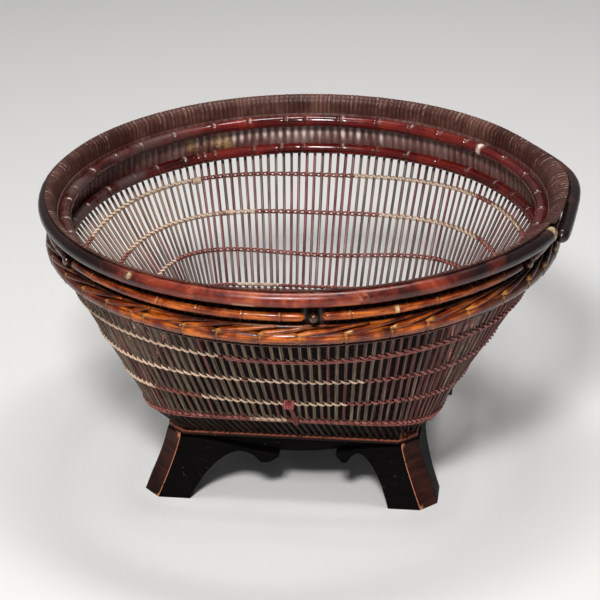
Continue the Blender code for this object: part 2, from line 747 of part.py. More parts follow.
def make_wings():
    """Two ogee bracket wings on each side of the stand, one from each foot."""
    foot_levels = [STAND_HEIGHT * i / FOOT_STEPS for i in range(FOOT_STEPS)]
    foot_levels.append(apron_edge(FOOT_TOP_REACH) - TOUCH)
    for way, way_name, tip in ((1.0, "right", WING_RIGHT_TIP), (-1.0, "left", WING_LEFT_TIP)):
        sections = [wing_section(foot_levels)]
        for along_share, height_share in ARCH_SHARES:
            across = WING_FOOT_INNER + (tip - WING_FOOT_INNER) * along_share
            top = apron_edge(across) - TOUCH
            low = top * height_share
            levels = [low + (top - low) * row / FOOT_STEPS for row in range(FOOT_STEPS + 1)]
            sections.append(wing_section(levels, across))
        shape = Shape()
        shape.loft([[(p.x * way, p.y, p.z) for p in section] for section in sections])
        place_on_sides(f"wing_{way_name}", shape.finish(), "black_lacquer")


def main():
    clear_scene()
    make_stakes()
    make_rows()
    make_wall_tie()
    make_rim_hoop()
    make_rim_collar()
    make_rim_lining()
    make_inner_hoops()
    make_root_band()
    make_small_hoops()
    make_pegs()
    make_rails()
    make_floor_mat()
    make_aprons()
    make_feet()
    make_wings()


main()
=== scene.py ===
"""Looks of the footed bamboo basket: stakes, twined rows, rim, lacquer, light and camera.

Metres, +Z up, origin on the floor under the middle of the stand; the front faces -Y.
"""
import math
import random

import bmesh
import bpy
from mathutils import Matrix, Vector, noise


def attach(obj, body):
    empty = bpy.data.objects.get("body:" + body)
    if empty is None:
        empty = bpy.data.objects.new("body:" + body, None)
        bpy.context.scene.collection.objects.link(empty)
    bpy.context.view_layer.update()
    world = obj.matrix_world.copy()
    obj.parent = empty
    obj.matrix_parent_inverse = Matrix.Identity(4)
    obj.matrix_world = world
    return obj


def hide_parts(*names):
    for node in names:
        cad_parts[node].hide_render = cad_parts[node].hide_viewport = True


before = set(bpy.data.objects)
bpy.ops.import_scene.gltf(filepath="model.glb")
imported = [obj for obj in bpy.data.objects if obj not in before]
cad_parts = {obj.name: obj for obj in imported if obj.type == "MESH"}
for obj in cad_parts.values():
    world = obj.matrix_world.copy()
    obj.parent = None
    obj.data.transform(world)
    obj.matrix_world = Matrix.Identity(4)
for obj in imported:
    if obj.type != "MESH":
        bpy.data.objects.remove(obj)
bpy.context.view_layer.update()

UP = Vector((0.0, 0.0, 1.0))
RANDOM_SEED = 11

# Sizes that repeat the part's source
TOUCH = 0.0003
RIM_DIAMETER = 0.3008
HOOP_DIAMETER = 0.0080
HOOP_LIFT = 0.0012
HOOP_SLACK = 0.0005
BUTT_AZIMUTH = -17.5
BUTT_SPREAD = 0.0036
BUTT_TAPER_ANGLE = 34.0
TAIL_GAP_ANGLE = 0.5
TAIL_SPREAD = 0.0070
TAIL_DROP = 0.0045
SPRING_ANGLE = 27.0
ROOT_LIFT = 0.0022
ROOT_HEIGHT = 0.0092
GROOVE_HEIGHT = 0.0037
SMALL_HOOP_DIAMETER = 0.0040
SMALL_HOOP_MARGIN = 0.0031
LINING_THICKNESS = 0.0008
LINING_LIFT = 0.0006
COLLAR_THICKNESS = 0.0009
COLLAR_SLACK = 0.00015
INNER_HOOP_DIAMETER = 0.0070
INNER_HOOP_LOW_LIFT = 0.0004
INNER_HOOP_HIGH_DROP = 0.0036
BAND_JOINT_GAP = 0.0006
PEG_AZIMUTHS = (-144.0, -80.8, -27.0, 33.0, 93.0, 155.0)
PEG_DIAMETER = 0.0050
PEG_LENGTH = 0.0066
FOOT_HALF = 0.0699
WALL_HEIGHT = 0.0927
KNEE_SHARES = (0.1694, 0.1935)
WAIST_SHARES = (0.6520, 0.6632)
FOOT_SQUARENESS = 10.0
KNEE_SQUARENESS = 7.0
WAIST_SQUARENESS = 2.65
ROUND_SQUARENESS = 2.0
SIDE_STAKES = 33
CORNER_STAKES = 11
STAKE_WIDTH = 0.0018
STAKE_THICKNESS = 0.0014
CORNER_STAKE_WIDTH = 0.0015
CORNER_FOOT_WIDTH = 0.0011
FLAT_RUN_SHARE = 0.86
SHORT_STAKE_START_SHARE = 0.78
ROW_PLACE_SHARES = (0.8285, 0.6203, 0.3830, 0.1996)
ROW_CORNER_RISES = (0.0025, 0.0012, 0.0035, 0.0)
STAND_HEIGHT = 0.0343
RAIL_LIP = 0.0007
RAIL_WIDTH = 0.0150
RAIL_THICKNESS = 0.0024
RAIL_CANT = 0.0090
MAT_THICKNESS = 0.0012
MAT_MARGIN = 0.0012
APRON_EDGE = 0.0012
APRON_BOW = 0.0070
APRON_THICKNESS = 0.0050
APRON_SETBACK = 0.0018
FOOT_SETBACK = 0.0038
FOOT_SPLAY = 0.0120
FOOT_FACE = 0.0130
FOOT_FLARE_POWER = 1.25
WING_SETIN = 0.0012
WING_FOOT_WIDTH = 0.0184
WING_TIPS = {"left": 0.0065, "right": 0.0260}
# The arch under a wing: shares of the way to its tip, and of the apron's height there
ARCH_SHARES = (
    (0.00, 0.000), (0.08, 0.230), (0.19, 0.470), (0.33, 0.700), (0.47, 0.865),
    (0.58, 0.925), (0.70, 0.895), (0.80, 0.780), (0.90, 0.810), (1.00, 0.935),
)

# The sprung end of the rim hoop stands a little further out than in the solids
SPRING_AZIMUTH = 8.0
SPRING_OUT = 0.0078

# Levels and distances from the upright axis
RAIL_LOW_LEVEL = STAND_HEIGHT + TOUCH
RAIL_TOP_LEVEL = RAIL_LOW_LEVEL + RAIL_THICKNESS
FOOT_LEVEL = RAIL_TOP_LEVEL + TOUCH
SHOULDER_LEVEL = FOOT_LEVEL + WALL_HEIGHT
KNEE_LEVEL = FOOT_LEVEL + WALL_HEIGHT * KNEE_SHARES[0]
WAIST_LEVEL = FOOT_LEVEL + WALL_HEIGHT * WAIST_SHARES[0]
ROOT_LOW_LEVEL = SHOULDER_LEVEL + ROOT_LIFT
SMALL_HOOP_LEVEL = ROOT_LOW_LEVEL + ROOT_HEIGHT + GROOVE_HEIGHT + SMALL_HOOP_DIAMETER / 2
STAKE_TOP_LEVEL = SMALL_HOOP_LEVEL + SMALL_HOOP_DIAMETER / 2 + SMALL_HOOP_MARGIN
HOOP_LEVEL = STAKE_TOP_LEVEL + HOOP_LIFT + HOOP_DIAMETER / 2
HALF_STAKE = STAKE_THICKNESS / 2
RIM_RADIUS = (RIM_DIAMETER - HOOP_DIAMETER) / 2
RIM_WALL_RADIUS = RIM_RADIUS - HOOP_DIAMETER / 2 - HOOP_SLACK - HALF_STAKE
OUTER_SEAT = RIM_WALL_RADIUS + HALF_STAKE + TOUCH
LINING_OUTER = RIM_WALL_RADIUS - HALF_STAKE - TOUCH
INNER_SEAT = LINING_OUTER - LINING_THICKNESS - TOUCH
KNEE_HALF = FOOT_HALF + (RIM_WALL_RADIUS - FOOT_HALF) * KNEE_SHARES[1]
WAIST_HALF = FOOT_HALF + (RIM_WALL_RADIUS - FOOT_HALF) * WAIST_SHARES[1]
RAIL_HALF = FOOT_HALF + HALF_STAKE + RAIL_LIP
FOOT_TOP_REACH = RAIL_HALF - FOOT_SETBACK
FOOT_RUN = FOOT_FACE / math.sqrt(2)
FOOT_CANT = FOOT_RUN / 2
WING_THICKNESS = FOOT_RUN - WING_SETIN
WING_FOOT_INNER = FOOT_TOP_REACH + FOOT_SPLAY - FOOT_CANT - WING_FOOT_WIDTH
STAKE_ANGLE = 90.0 / (SIDE_STAKES + CORNER_STAKES)
SIDE_REACH = (SIDE_STAKES - 1) // 2
CORNER_REACH = (CORNER_STAKES - 1) // 2
LEVELS = (
    (FOOT_LEVEL, FOOT_HALF, FOOT_SQUARENESS),
    (KNEE_LEVEL, KNEE_HALF, KNEE_SQUARENESS),
    (WAIST_LEVEL, WAIST_HALF, WAIST_SQUARENESS),
    (SHOULDER_LEVEL, RIM_WALL_RADIUS, ROUND_SQUARENESS),
)
SIDE_NAMES = ("front", "right", "back", "left")
CORNER_NAMES = ("front_right", "back_right", "back_left", "front_left")

ROW_4_LEVEL = FOOT_LEVEL + WALL_HEIGHT * ROW_PLACE_SHARES[3]

# Stakes in the scene: bends, slant of their feet, unevenness of hand-split bamboo
BEND_REACHES = (0.0050, 0.0110, 0.0030)
BEND_STEPS = 4
FOOT_SLANT = 0.0042
STAKE_SHIFT = 0.00022
STAKE_TWIST = 0.10
WIDTH_SPREAD = 0.09
STAKE_EDGE = 0.00030
# Which of the eight points round a stake lie on its inner face
STAKE_INNER_MARKS = (1.0, 1.0, 1.0, 0.0, 0.0, 0.0, 0.0, 1.0)

# Twined rows in the scene, from the top down: bead sizes, slant and lift above the row
STRAND_HEIGHTS = (0.0018, 0.0017, 0.0017, 0.0023)
STRAND_THICKNESSES = (0.0012, 0.0012, 0.0012, 0.0015)
STRAND_WAIST_SHARES = (0.55, 0.55, 0.55, 0.32)
STRAND_SWINGS = (0.0009, 0.0010, 0.0010, 0.0005)
STRAND_LIFTS = (0.0006, 0.0, 0.0, 0.0008)
STRAND_SEAT_SHARE = 0.42
STRAND_CROSSING_SHARE = 0.4
STRAND_SINK = 0.0014
STRAND_SIDES = 8
STRAND_STEPS = 10
UNDER_PALE_SHARE = 0.3
# Painted shade on the thin row under the root band, which lies in the band's shadow
TOP_ROW_SHADE = 0.75
# Rows with a third strand: its height, and the azimuths it runs between
UNDER_STRANDS = {0: (0.0012, -101.5, 30.0), 3: (0.0014, -181.0, 181.0)}
UNDER_STRAND_GAP = 0.0004
TOP_ROW_DROP = 0.0014
TOP_ROW_HEIGHT = 0.0010

# Pale stretches of each row, by azimuth
PALE_STRETCHES = (
    ((-178.0, -103.0), (127.0, 172.0), (46.0, 83.0), (22.0, 39.0)),
    ((-176.0, -99.6), (-97.8, -68.0), (112.0, 160.0), (40.0, 74.0)),
    ((-178.0, -127.5), (-114.5, -70.5), (140.0, 176.0)),
    ((-103.0, -90.0), (108.0, 122.0)),
)

# Splices lashed on the inner side: row, azimuth, turns of cane and reach of a turn
SPLICES = ((0, 128.0, 5, 0.0018), (1, 121.0, 7, 0.0013))
SPLICE_CORD = 0.0011
CORD_STEPS = 16
CORD_SIDES = 8

# Lashing: its cords, its places across rows four and three, and its course up the wall,
# each point as a rise between the rows, a push off the wall and a spread, as shares
TIE_CORD = 0.0014
TIE_CORDS = 2
TIE_PLACES = (0.0058, 0.0036)
# Turns round each row, the reach of a turn, and how bright the turns are
TIE_TURNS = (2, 4)
TIE_REACHES = (0.0017, 0.0020)
TIE_BRIGHT_SHARES = (0.2, 1.0)
TIE_COURSE_SHARES = (
    (-0.22, 0.0, 0.5), (-0.12, 0.8, 0.7), (0.0, 1.4, 1.0), (0.13, 0.5, 0.9), (0.30, 0.0, 0.8),
    (0.55, 0.0, 0.8), (0.82, 0.3, 0.9), (0.93, 0.9, 1.0), (1.02, 1.1, 1.0), (1.12, 0.6, 0.8),
    (1.20, 0.0, 0.5),
)

# Rim hoop: unevenness, scuffs and the cut rim of its butt end, painted pale as bare cane and as a
# highlight
HOOP_STEPS = 420
HOOP_SIDES = 20
HOOP_WOBBLE = 0.00025
BUTT_CAP_ANGLE = 2.0
BUTT_CAP_SHARE = 0.7
# Chips and scuffs: azimuth, half angle, and the place round the cane from outward, in degrees
HOOP_SCUFFS = ((-94.5, 2.4, -60.0), (-81.5, 2.6, 118.0), (-120.5, 0.6, 40.0), (-71.0, 0.5, 20.0))
SCUFF_REACH = 34.0

# Collar and lining: wraps and slivers, and patches where the lacquer is lost, each with its
# azimuth, half angle, level and half height
COLLAR_WRAPS = 300
COLLAR_STEPS = 6
COLLAR_ANGLES = (178.0, 164.0, 150.0, 136.0, 122.0, 109.0, 98.0, 92.0)
COLLAR_SPREAD_SHARE = 0.62
# How brightly a strip's crest is lit from its outer to its inner end, and at its foot
COLLAR_CREST_SHARES = (0.5, 1.0, 0.9, 0.7, 0.6, 0.5, 0.5, 0.4, 0.0)
LINING_BOW = 0.0007
LINING_STEPS = 6
LINING_ROWS = 12
# Where the slivers' crests shine: from and to an azimuth, easing off over some degrees
LINING_SHINE = (80.0, 121.0, 9.0)
LINING_PATCHES = (
    (125.5, 3.0, STAKE_TOP_LEVEL - ROOT_HEIGHT * 1.30, 0.0042),
    (119.0, 2.4, SHOULDER_LEVEL + ROOT_HEIGHT * 0.8, 0.0060),
)

# Knotted canes: each style is a knot's swell and pinch as shares of the cane's half, its
# reach, and how far the painted highlight beside it leans outward
CANE_SIDES = 14
CANE_STEP_ANGLE = 0.7
CANE_WANDER = 0.00015
KNOT_STEP_SHARES = (-1.6, -1.2, -0.8, -0.4, 0.0, 0.4, 0.8, 1.2, 1.6)
INNER_HOOP_STYLE = (0.05, 0.14, 0.0015, -0.5)
INNER_HOOP_STEPS = (7.5, 12.0)
HIGH_HOOP_KNOTS = (44.0, 49.5, 58.5, 67.5, 77.0, 87.0, 96.6, 102.0, 112.0, 122.0, 134.0, 145.0)
LOW_HOOP_KNOTS = (19.0, 29.0, 38.0, 49.0, 59.0, 68.5, 77.5, 87.0, 97.5, 103.5, 111.0, 122.0,
                  125.0, 127.0, 131.0)
SMALL_HOOP_STYLE = (0.08, 0.04, 0.0009, 0.6)
SMALL_HOOP_SWELL = 1.16
SMALL_HOOP_KNOT_STEPS = (8.0, 12.0)
SMALL_HOOP_KNOTS = {
    0: (-133.0, -123.5, -114.0, -105.0, -95.2, -87.3),
    1: (-73.0, -63.5, -54.0, -45.0, -35.5),
}
GOLD_KNOTS = (-63.5,)
HIGH_GOLD_KNOTS = (44.0,)
PEG_CLEARANCE = 0.0041
PEG_SIDES = 16
# The head of a peg: shares of its length, and of its half thickness there
PEG_HEAD_SHARES = (
    (0.0, 0.80), (0.30, 0.86), (0.55, 0.97), (0.72, 1.0), (0.84, 0.93), (0.93, 0.76),
    (0.98, 0.50), (1.0, 0.22),
)

# Root band: the cane, its branches, its backing and its knots round the front, by azimuth
ROOT_CANE_HALF_UP = 0.0033
ROOT_CANE_HALF_OUT = 0.0026
ROOT_BRANCH_HALF = 0.0018
ROOT_BACKING = 0.0011
ROOT_DROP = 0.0008
ROOT_LIP = 0.0008
ROOT_SIDES = 16
ROOT_STEP_ANGLE = 2
BRANCH_STEPS = 26
BRANCH_SIDES = 12
ROOT_CANE_SHARES = (0.0, 0.02, 0.045, 0.07, 0.10, 0.15, 0.25, 0.38, 0.5, 0.62, 0.75, 0.86, 0.92,
                    0.95, 0.975)
ROOT_KNOTS = (-118.0, -108.5, -101.0, -92.0, -84.0, -74.6, -65.0, -57.0, -47.0)
ROOT_KNOT_STEPS = (7.6, 10.4)

# Stand and floor mat in the scene
RAIL_STEPS = 24
RAIL_ROUNDING = 0.0006
RUB_WIDTH = 0.0012
APRON_STEPS = 40
FOOT_STEPS = 14
# Where points lie along each of the four sides of a foot's section, as shares
FOOT_CUT_SHARES = (
    (0.0, 0.06, 0.25, 0.50, 0.75, 0.94), (0.0, 0.12), (0.0, 0.5), (0.0, 0.88),
)
FOOT_ROUNDING = 0.0006
BOARD_ROUNDING = 0.0005
ARCH_STEPS = 36
WING_STEP = 0.0001
WING_ROWS = 8
# Edges of the stand sharper than this are rounded
BEVEL_ANGLE = 35.0
BEVEL_STEPS = 3
MAT_STRIPS = 26
MAT_WIDTH_SHARE = 0.86
MAT_STRIP_THICKNESS = 0.00045

# Camera and light
CAMERA_PLACE = (0.1476, -1.1240, 0.6254)
CAMERA_TURN = (1.12953, 0.01357, 0.12414)
CAMERA_LENS = 128.7918
CAMERA_SENSOR = 36.0
CAMERA_SHIFT = (-0.0076167, -0.0049833)
FLOOR_HALF = 6.0
WORLD_COLOUR = (0.96, 0.98, 1.0)
WORLD_STRENGTH = 0.20
LAMP_TARGET = Vector((0.0, 0.0, 0.10))
# Each lamp's name, place, sides and power
LAMPS = (
    ("key", (-0.06, -1.05, 1.25), (0.32, 0.30), 19.0),
    ("top", (0.05, 0.30, 1.40), (0.60, 0.30), 9.0),
)


def clamp(value, low=0.0, high=1.0):
    return min(max(value, low), high)


def smooth_step(share):
    """Eases from 0 to 1."""
    share = clamp(share)
    return share * share * (3.0 - 2.0 * share)


def hump(away, sharpness=1.0):
    """A smooth hump, 1 at its middle and nearly 0 a step or two away."""
    return math.exp(-away ** 2 * sharpness)


def round_end(share, least):
    """Thickness of a rounded end, by the share of its rounding that is done."""
    return math.sqrt(1.0 - (1.0 - clamp(share)) ** 2) * (1.0 - least) + least


def unevenness(*place):
    return noise.noise(Vector(place))


def angles(count):
    """Even angles round a full turn."""
    return [2.0 * math.pi * k / count for k in range(count)]


def polar(radius, azimuth, level):
    """A point from its distance to the upright axis, its azimuth in degrees and its height."""
    angle = math.radians(azimuth)
    return Vector((radius * math.cos(angle), radius * math.sin(angle), level))


def outward(azimuth):
    """The level direction away from the axis."""
    return polar(1.0, azimuth, 0.0)


def azimuth_of(point):
    return math.degrees(math.atan2(point.y, point.x))


def turn_between(here, there):
    """Degrees from one azimuth to another, from -180 to 180."""
    return (there - here + 180.0) % 360.0 - 180.0


def oval(middle, side, up, half_side, half_up, count):
    """A ring of points round a middle, in the plane of two directions."""
    return [middle + side * (half_side * math.cos(angle)) + up * (half_up * math.sin(angle))
            for angle in angles(count)]


def spline(a, b, c, d, share):
    """A smooth curve through four points, at a share of the way from the second to the third."""
    return (b * 2.0 + (c - a) * share + (a * 2.0 - b * 5.0 + c * 4.0 - d) * share ** 2
            + (b * 3.0 - a - c * 3.0 + d) * share ** 3) * 0.5


# Bodies built from sections

class Skin:
    """Collects closed bodies, each vertex with its place on the strand and two marks.

    The strand mark is how far along and around the strand a point lies, and the strand's
    own number. The bare mark says where lacquer is gone and which points lie on a stake's inner
    face, and on some pieces where shade and highlights are painted. The dust mark says where dust
    lies and where knots are marked, and on some pieces where shade and highlights are painted.
    """

    def __init__(self):
        self.rings = []
        self.places = []
        self.faces = []
        self.marks = {"strand": [], "bare": [], "dust": []}

    def ring(self, points, bare=0.0, dust=0.0):
        """The next section of a body; a mark is one number, or one for each point."""
        self.rings.append((points, bare, dust))

    def sweep(self, number=0.0, closed=False):
        """A body over the sections so far, capped at its ends or run round."""
        first = len(self.places)
        count = len(self.rings[0][0])
        along = 0.0
        before = None
        for points, bare, dust in self.rings:
            middle = sum(points, Vector()) / count
            if before is not None:
                along += (middle - before).length
            before = middle
            around = 0.0
            for k, point in enumerate(points):
                around += (point - points[max(k - 1, 0)]).length
                self.marks["strand"] += (along, around, number)
            self.places += points
            for name, mark in (("bare", bare), ("dust", dust)):
                self.marks[name] += [mark] * count if isinstance(mark, float) else mark
        rows = [range(start, start + count) for start in range(first, len(self.places), count)]
        for here, there in zip(rows, rows[1:] + rows[:closed]):
            for k in range(count):
                after = (k + 1) % count
                self.faces.append((here[k], here[after], there[after], there[k]))
        if not closed:
            self.faces += [tuple(reversed(rows[0])), tuple(rows[-1])]
        self.rings = []

    def object(self, name, node, look, sharp_angle=180.0):
        """The piece made of the bodies, their faces turned outward."""
        data = bpy.data.meshes.new(name)
        data.from_pydata(self.places, [], self.faces)
        for mark, values in self.marks.items():
            kind, key = ("FLOAT_VECTOR", "vector") if mark == "strand" else ("FLOAT", "value")
            data.attributes.new(mark, kind, "POINT").data.foreach_set(key, values)
        mesh = bmesh.new()
        mesh.from_mesh(data)
        bmesh.ops.recalc_face_normals(mesh, faces=mesh.faces)
        settle(name, node, mesh, data, look, sharp_angle)


def settle(name, node, mesh, data, look, sharp_angle):
    """Finish a mesh as a piece of the basket, which stands for a node and rides on the root."""
    material, slot = look
    mesh.to_mesh(data)
    mesh.free()
    data.shade_smooth()
    data.set_sharp_from_angle(angle=math.radians(sharp_angle))
    data.materials.append(material)
    piece = show(name, data)
    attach(piece, "root")
    if node:
        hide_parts(node)


def show(name, data):
    item = bpy.data.objects.new(name, data)
    bpy.context.scene.collection.objects.link(item)
    return item


# The wall's outline

def outline_depth(across, half, squareness):
    """How far the rounded square lies from the middle at this place along its side."""
    share = min(abs(across) / half, 1.0)
    return half * (1.0 - share ** squareness) ** (1.0 / squareness)


def outline_point(angle, half, squareness, level):
    """A point of the rounded square, at an angle from the normal of the front side."""
    total = abs(math.cos(angle)) ** squareness + abs(math.sin(angle)) ** squareness
    radius = half / total ** (1.0 / squareness)
    return Vector((radius * math.sin(angle), -radius * math.cos(angle), level))


def level_shape(level):
    """Half width and squareness of the wall at a height."""
    for low, high in zip(LEVELS, LEVELS[1:]):
        if level <= high[0]:
            rise = max((level - low[0]) / (high[0] - low[0]), 0.0)
            return low[1] + (high[1] - low[1]) * rise, low[2] + (high[2] - low[2]) * rise
    return LEVELS[-1][1:]


def wall_directions(point, run):
    """Along the wall, square out of it, and up it, at a point where a stake runs this way."""
    half, squareness = level_shape(point.z)
    slopes = [math.copysign(abs(place / half) ** (squareness - 1.0), place) for place in point.xy]
    facing = Vector((*slopes, 0.0)).normalized()
    sideways = UP.cross(facing)
    normal = run.cross(sideways).normalized()
    if normal.dot(facing) < 0.0:
        normal.negate()
    return sideways, normal, sideways.cross(normal)


def side_stake_across(index, level):
    """How far a side stake stands from the middle of its side: it leans outward evenly."""
    low = index / SIDE_REACH * FLAT_RUN_SHARE * FOOT_HALF
    high = RIM_WALL_RADIUS * math.sin(math.radians(index * STAKE_ANGLE))
    return low + (high - low) * (level - FOOT_LEVEL) / WALL_HEIGHT


def stake_corners(order):
    """Points where a stake of the front side, or its right corner, changes direction."""
    path = []
    for level, half, squareness in LEVELS:
        across = side_stake_across(min(order - SIDE_REACH, SIDE_REACH), level)
        depth = outline_depth(across, half, squareness)
        if order < SIDE_STAKES:
            path.append(Vector((across, -depth, level)))
        else:
            fan = math.pi / 4 - math.atan2(across, depth)
            share = (order - SIDE_STAKES - CORNER_REACH) / (CORNER_REACH + 1)
            path.append(outline_point(math.pi / 4 + fan * share, half, squareness, level))
    return path


def slide(point, distance):
    """Move a point along the wall's outline at its height, a little way round the basket."""
    angle = math.atan2(point.x, -point.y) + distance / math.hypot(point.x, point.y)
    return outline_point(angle, *level_shape(point.z), point.z)


def bend(corners, reaches):
    """Points of a path that rounds its inner corners, by how far each bend reaches."""
    path = [corners[0]]
    for before, corner, after, reach in zip(corners, corners[1:], corners[2:], reaches):
        start = corner + (before - corner).normalized() * reach
        end = corner + (after - corner).normalized() * reach
        for i in range(BEND_STEPS + 1):
            t = i / BEND_STEPS
            path.append(start * (1.0 - t) ** 2 + corner * (2.0 * t * (1.0 - t)) + end * t ** 2)
    return path + [corners[-1]]


class Stake:
    """One upright strip: its path, its width and its number."""

    def __init__(self, order, quarter, dice):
        corners = stake_corners(order)
        self.is_corner = order >= SIDE_STAKES
        self.number = float(quarter * (SIDE_STAKES + CORNER_STAKES) + order)
        self.width = CORNER_STAKE_WIDTH if self.is_corner else STAKE_WIDTH
        self.width *= 1.0 + WIDTH_SPREAD * dice.uniform(-1.0, 1.0)
        self.twist = STAKE_TWIST * dice.uniform(-1.0, 1.0)
        corners[0] = slide(corners[0], FOOT_SLANT)
        if self.is_corner and (order - SIDE_STAKES - CORNER_REACH) % 2 == 1:
            corners[0] = corners[0].lerp(corners[1], SHORT_STAKE_START_SHARE)
        for k in range(1, len(corners) - 1):
            corners[k] = slide(corners[k], STAKE_SHIFT * dice.uniform(-1.0, 1.0))
        corners.append(Vector((*corners[-1].xy, STAKE_TOP_LEVEL)))
        turn = Matrix.Rotation(math.radians(90.0 * quarter), 3, "Z")
        self.path = [turn @ point for point in bend(corners, BEND_REACHES)]

    def at(self, level):
        """Where the stake crosses a height, and the direction it runs there."""
        for low, high in zip(self.path, self.path[1:]):
            if level <= high.z:
                share = (level - low.z) / (high.z - low.z)
                return low.lerp(high, share), (high - low).normalized()
        return self.path[-1], UP

    def half_width(self, level):
        """The corner stakes are trimmed narrower towards the foot."""
        rise = clamp((level - FOOT_LEVEL) / (KNEE_LEVEL - FOOT_LEVEL))
        share = CORNER_FOOT_WIDTH / CORNER_STAKE_WIDTH if self.is_corner else 1.0
        return self.width / 2 * (share + (1.0 - share) * rise)

    def strip(self, skin):
        """Sections with eased edges, square to the run, their inner faces marked."""
        for i, point in enumerate(self.path):
            run = self.path[min(i + 1, len(self.path) - 1)] - self.path[max(i - 1, 0)]
            sideways, normal, _ = wall_directions(point, run.normalized())
            angle = self.twist * math.sin(2.0 * math.pi * i / len(self.path))
            turn = Matrix.Rotation(angle, 3, run.normalized())
            half = self.half_width(point.z)
            edge = min(STAKE_EDGE, half / 2)
            ring = []
            for across, through in ((-half + edge, -HALF_STAKE), (half - edge, -HALF_STAKE),
                                    (half, edge - HALF_STAKE), (half, HALF_STAKE - edge),
                                    (half - edge, HALF_STAKE), (edge - half, HALF_STAKE),
                                    (-half, HALF_STAKE - edge), (-half, edge - HALF_STAKE)):
                ring.append(point + turn @ sideways * across + turn @ normal * through)
            skin.ring(ring, STAKE_INNER_MARKS)
        skin.sweep(self.number)


def make_stakes(dice, look):
    """All the stakes, as one piece for each side and each corner."""
    stakes = []
    for quarter, (side, corner) in enumerate(zip(SIDE_NAMES, CORNER_NAMES)):
        group = [Stake(k, quarter, dice) for k in range(SIDE_STAKES + CORNER_STAKES)]
        for node, members in ((f"stakes_{side}", group[:SIDE_STAKES]),
                              (f"stakes_corner_{corner}", group[SIDE_STAKES:])):
            skin = Skin()
            for stake in members:
                stake.strip(skin)
            skin.object(node + "_strips", node, look, 60.0)
        stakes += group
    return stakes


# Twined rows

class Row:
    """A ring round the wall: where it crosses each stake, and the wall's normal there."""

    def __init__(self, stakes, level, corner_rise=0.0):
        self.points = []
        self.normals = []
        for stake in stakes:
            turned = math.radians(azimuth_of(stake.at(level)[0]))
            place, run = stake.at(level + corner_rise * math.sin(2.0 * turned) ** 2)
            self.points.append(place)
            self.normals.append(wall_directions(place, run)[1])

    def along(self, place, ring=None):
        """A smooth curve through the ring, at a place counted in stakes."""
        ring = ring or self.points
        k = math.floor(place)
        return spline(*(ring[(k + step) % len(ring)] for step in (-1, 0, 1, 2)), place - k)

    def frame(self, place):
        """The middle of the row at a place, and the directions out of the wall and up it."""
        normal = self.along(place, self.normals).normalized()
        ahead = self.along(place + 0.1) - self.along(place - 0.1)
        rising = normal.cross(ahead.normalized())
        return self.along(place), normal, rising if rising.z > 0.0 else -rising

    def sections(self, shape):
        """Oval sections of a strand, from a shape that gives its offsets, halves and painted shade.
        """
        steps = []
        for i in range(len(self.points) * STRAND_STEPS):
            middle, normal, rising = self.frame(i / STRAND_STEPS)
            out, up, halves, dark = shape(i / STRAND_STEPS, middle)
            steps.append((middle + normal * out + rising * up, normal, halves, dark))
        for i, (middle, normal, halves, dark) in enumerate(steps):
            run = (steps[(i + 1) % len(steps)][0] - steps[i - 1][0]).normalized()
            out = (normal - run * normal.dot(run)).normalized()
            yield oval(middle, out, run.cross(out), *halves, STRAND_SIDES), dark

    def twisted(self, number, phase):
        """One strand of a twisted pair, which passes outside every other stake."""
        thickness = STRAND_THICKNESSES[number]
        waist = STRAND_WAIST_SHARES[number]

        def shape(place, point):
            turned = math.pi * place + phase
            wave = math.cos(turned)
            front = clamp(-point.y / WAIST_HALF)
            out = HALF_STAKE + thickness * STRAND_SEAT_SHARE
            out *= STRAND_CROSSING_SHARE * (1.0 - wave * wave) + wave
            up = STRAND_LIFTS[number] - STRAND_SWINGS[number] * math.sin(turned)
            up -= STRAND_SINK * smooth_step(-wave) * front
            swell = waist + (1.0 - waist) * abs(wave) ** 1.5
            halves = (thickness / 2 * swell, STRAND_HEIGHTS[number] / 2 * swell)
            # Painted shade: in front, the strand darkens where it crosses between the stakes
            return out, up, halves, front * smooth_step(0.5 - wave * 1.6) * 0.92

        return self.sections(shape)

    def single(self, height, drop=0.0):
        """The single strand under a pair, which dips between the stakes."""
        def shape(place, point):
            wave = math.cos(2.0 * math.pi * place)
            out = HALF_STAKE + height * (0.25 + 0.2 * wave)
            return out, 0.26 * height * wave - drop, (height * 0.42, height / 2), 0.0

        return self.sections(shape)

    def splice(self, skin, azimuth, turns, reach):
        """A pale splice: turns of cane round the row, at an azimuth."""
        aways = [abs(turn_between(azimuth, azimuth_of(point))) for point in self.points]
        place = aways.index(min(aways))
        ahead = self.along(place + 0.5) - self.along(place - 0.5)
        step = SPLICE_CORD / ahead.length
        middles = [self.along(place + step * (k - (turns - 1) / 2)) for k in range(turns)]
        _, normal, rising = self.frame(place)
        cord_turns(skin, middles, ahead.normalized(), normal, rising, reach, SPLICE_CORD, bare=1.0)


def cord_turns(skin, middles, along, normal, rising, reach, cord, bare=0.0, dust=0.0):
    """Turns of cord side by side, each a ring in the plane square to the row."""
    for k, middle in enumerate(middles):
        for angle in angles(CORD_STEPS):
            spoke = normal * math.cos(angle) + rising * math.sin(angle)
            skin.ring(oval(middle + spoke * reach, spoke, along, cord / 2, cord / 2, CORD_SIDES),
                      bare, dust)
        skin.sweep(float(10 + k), closed=True)


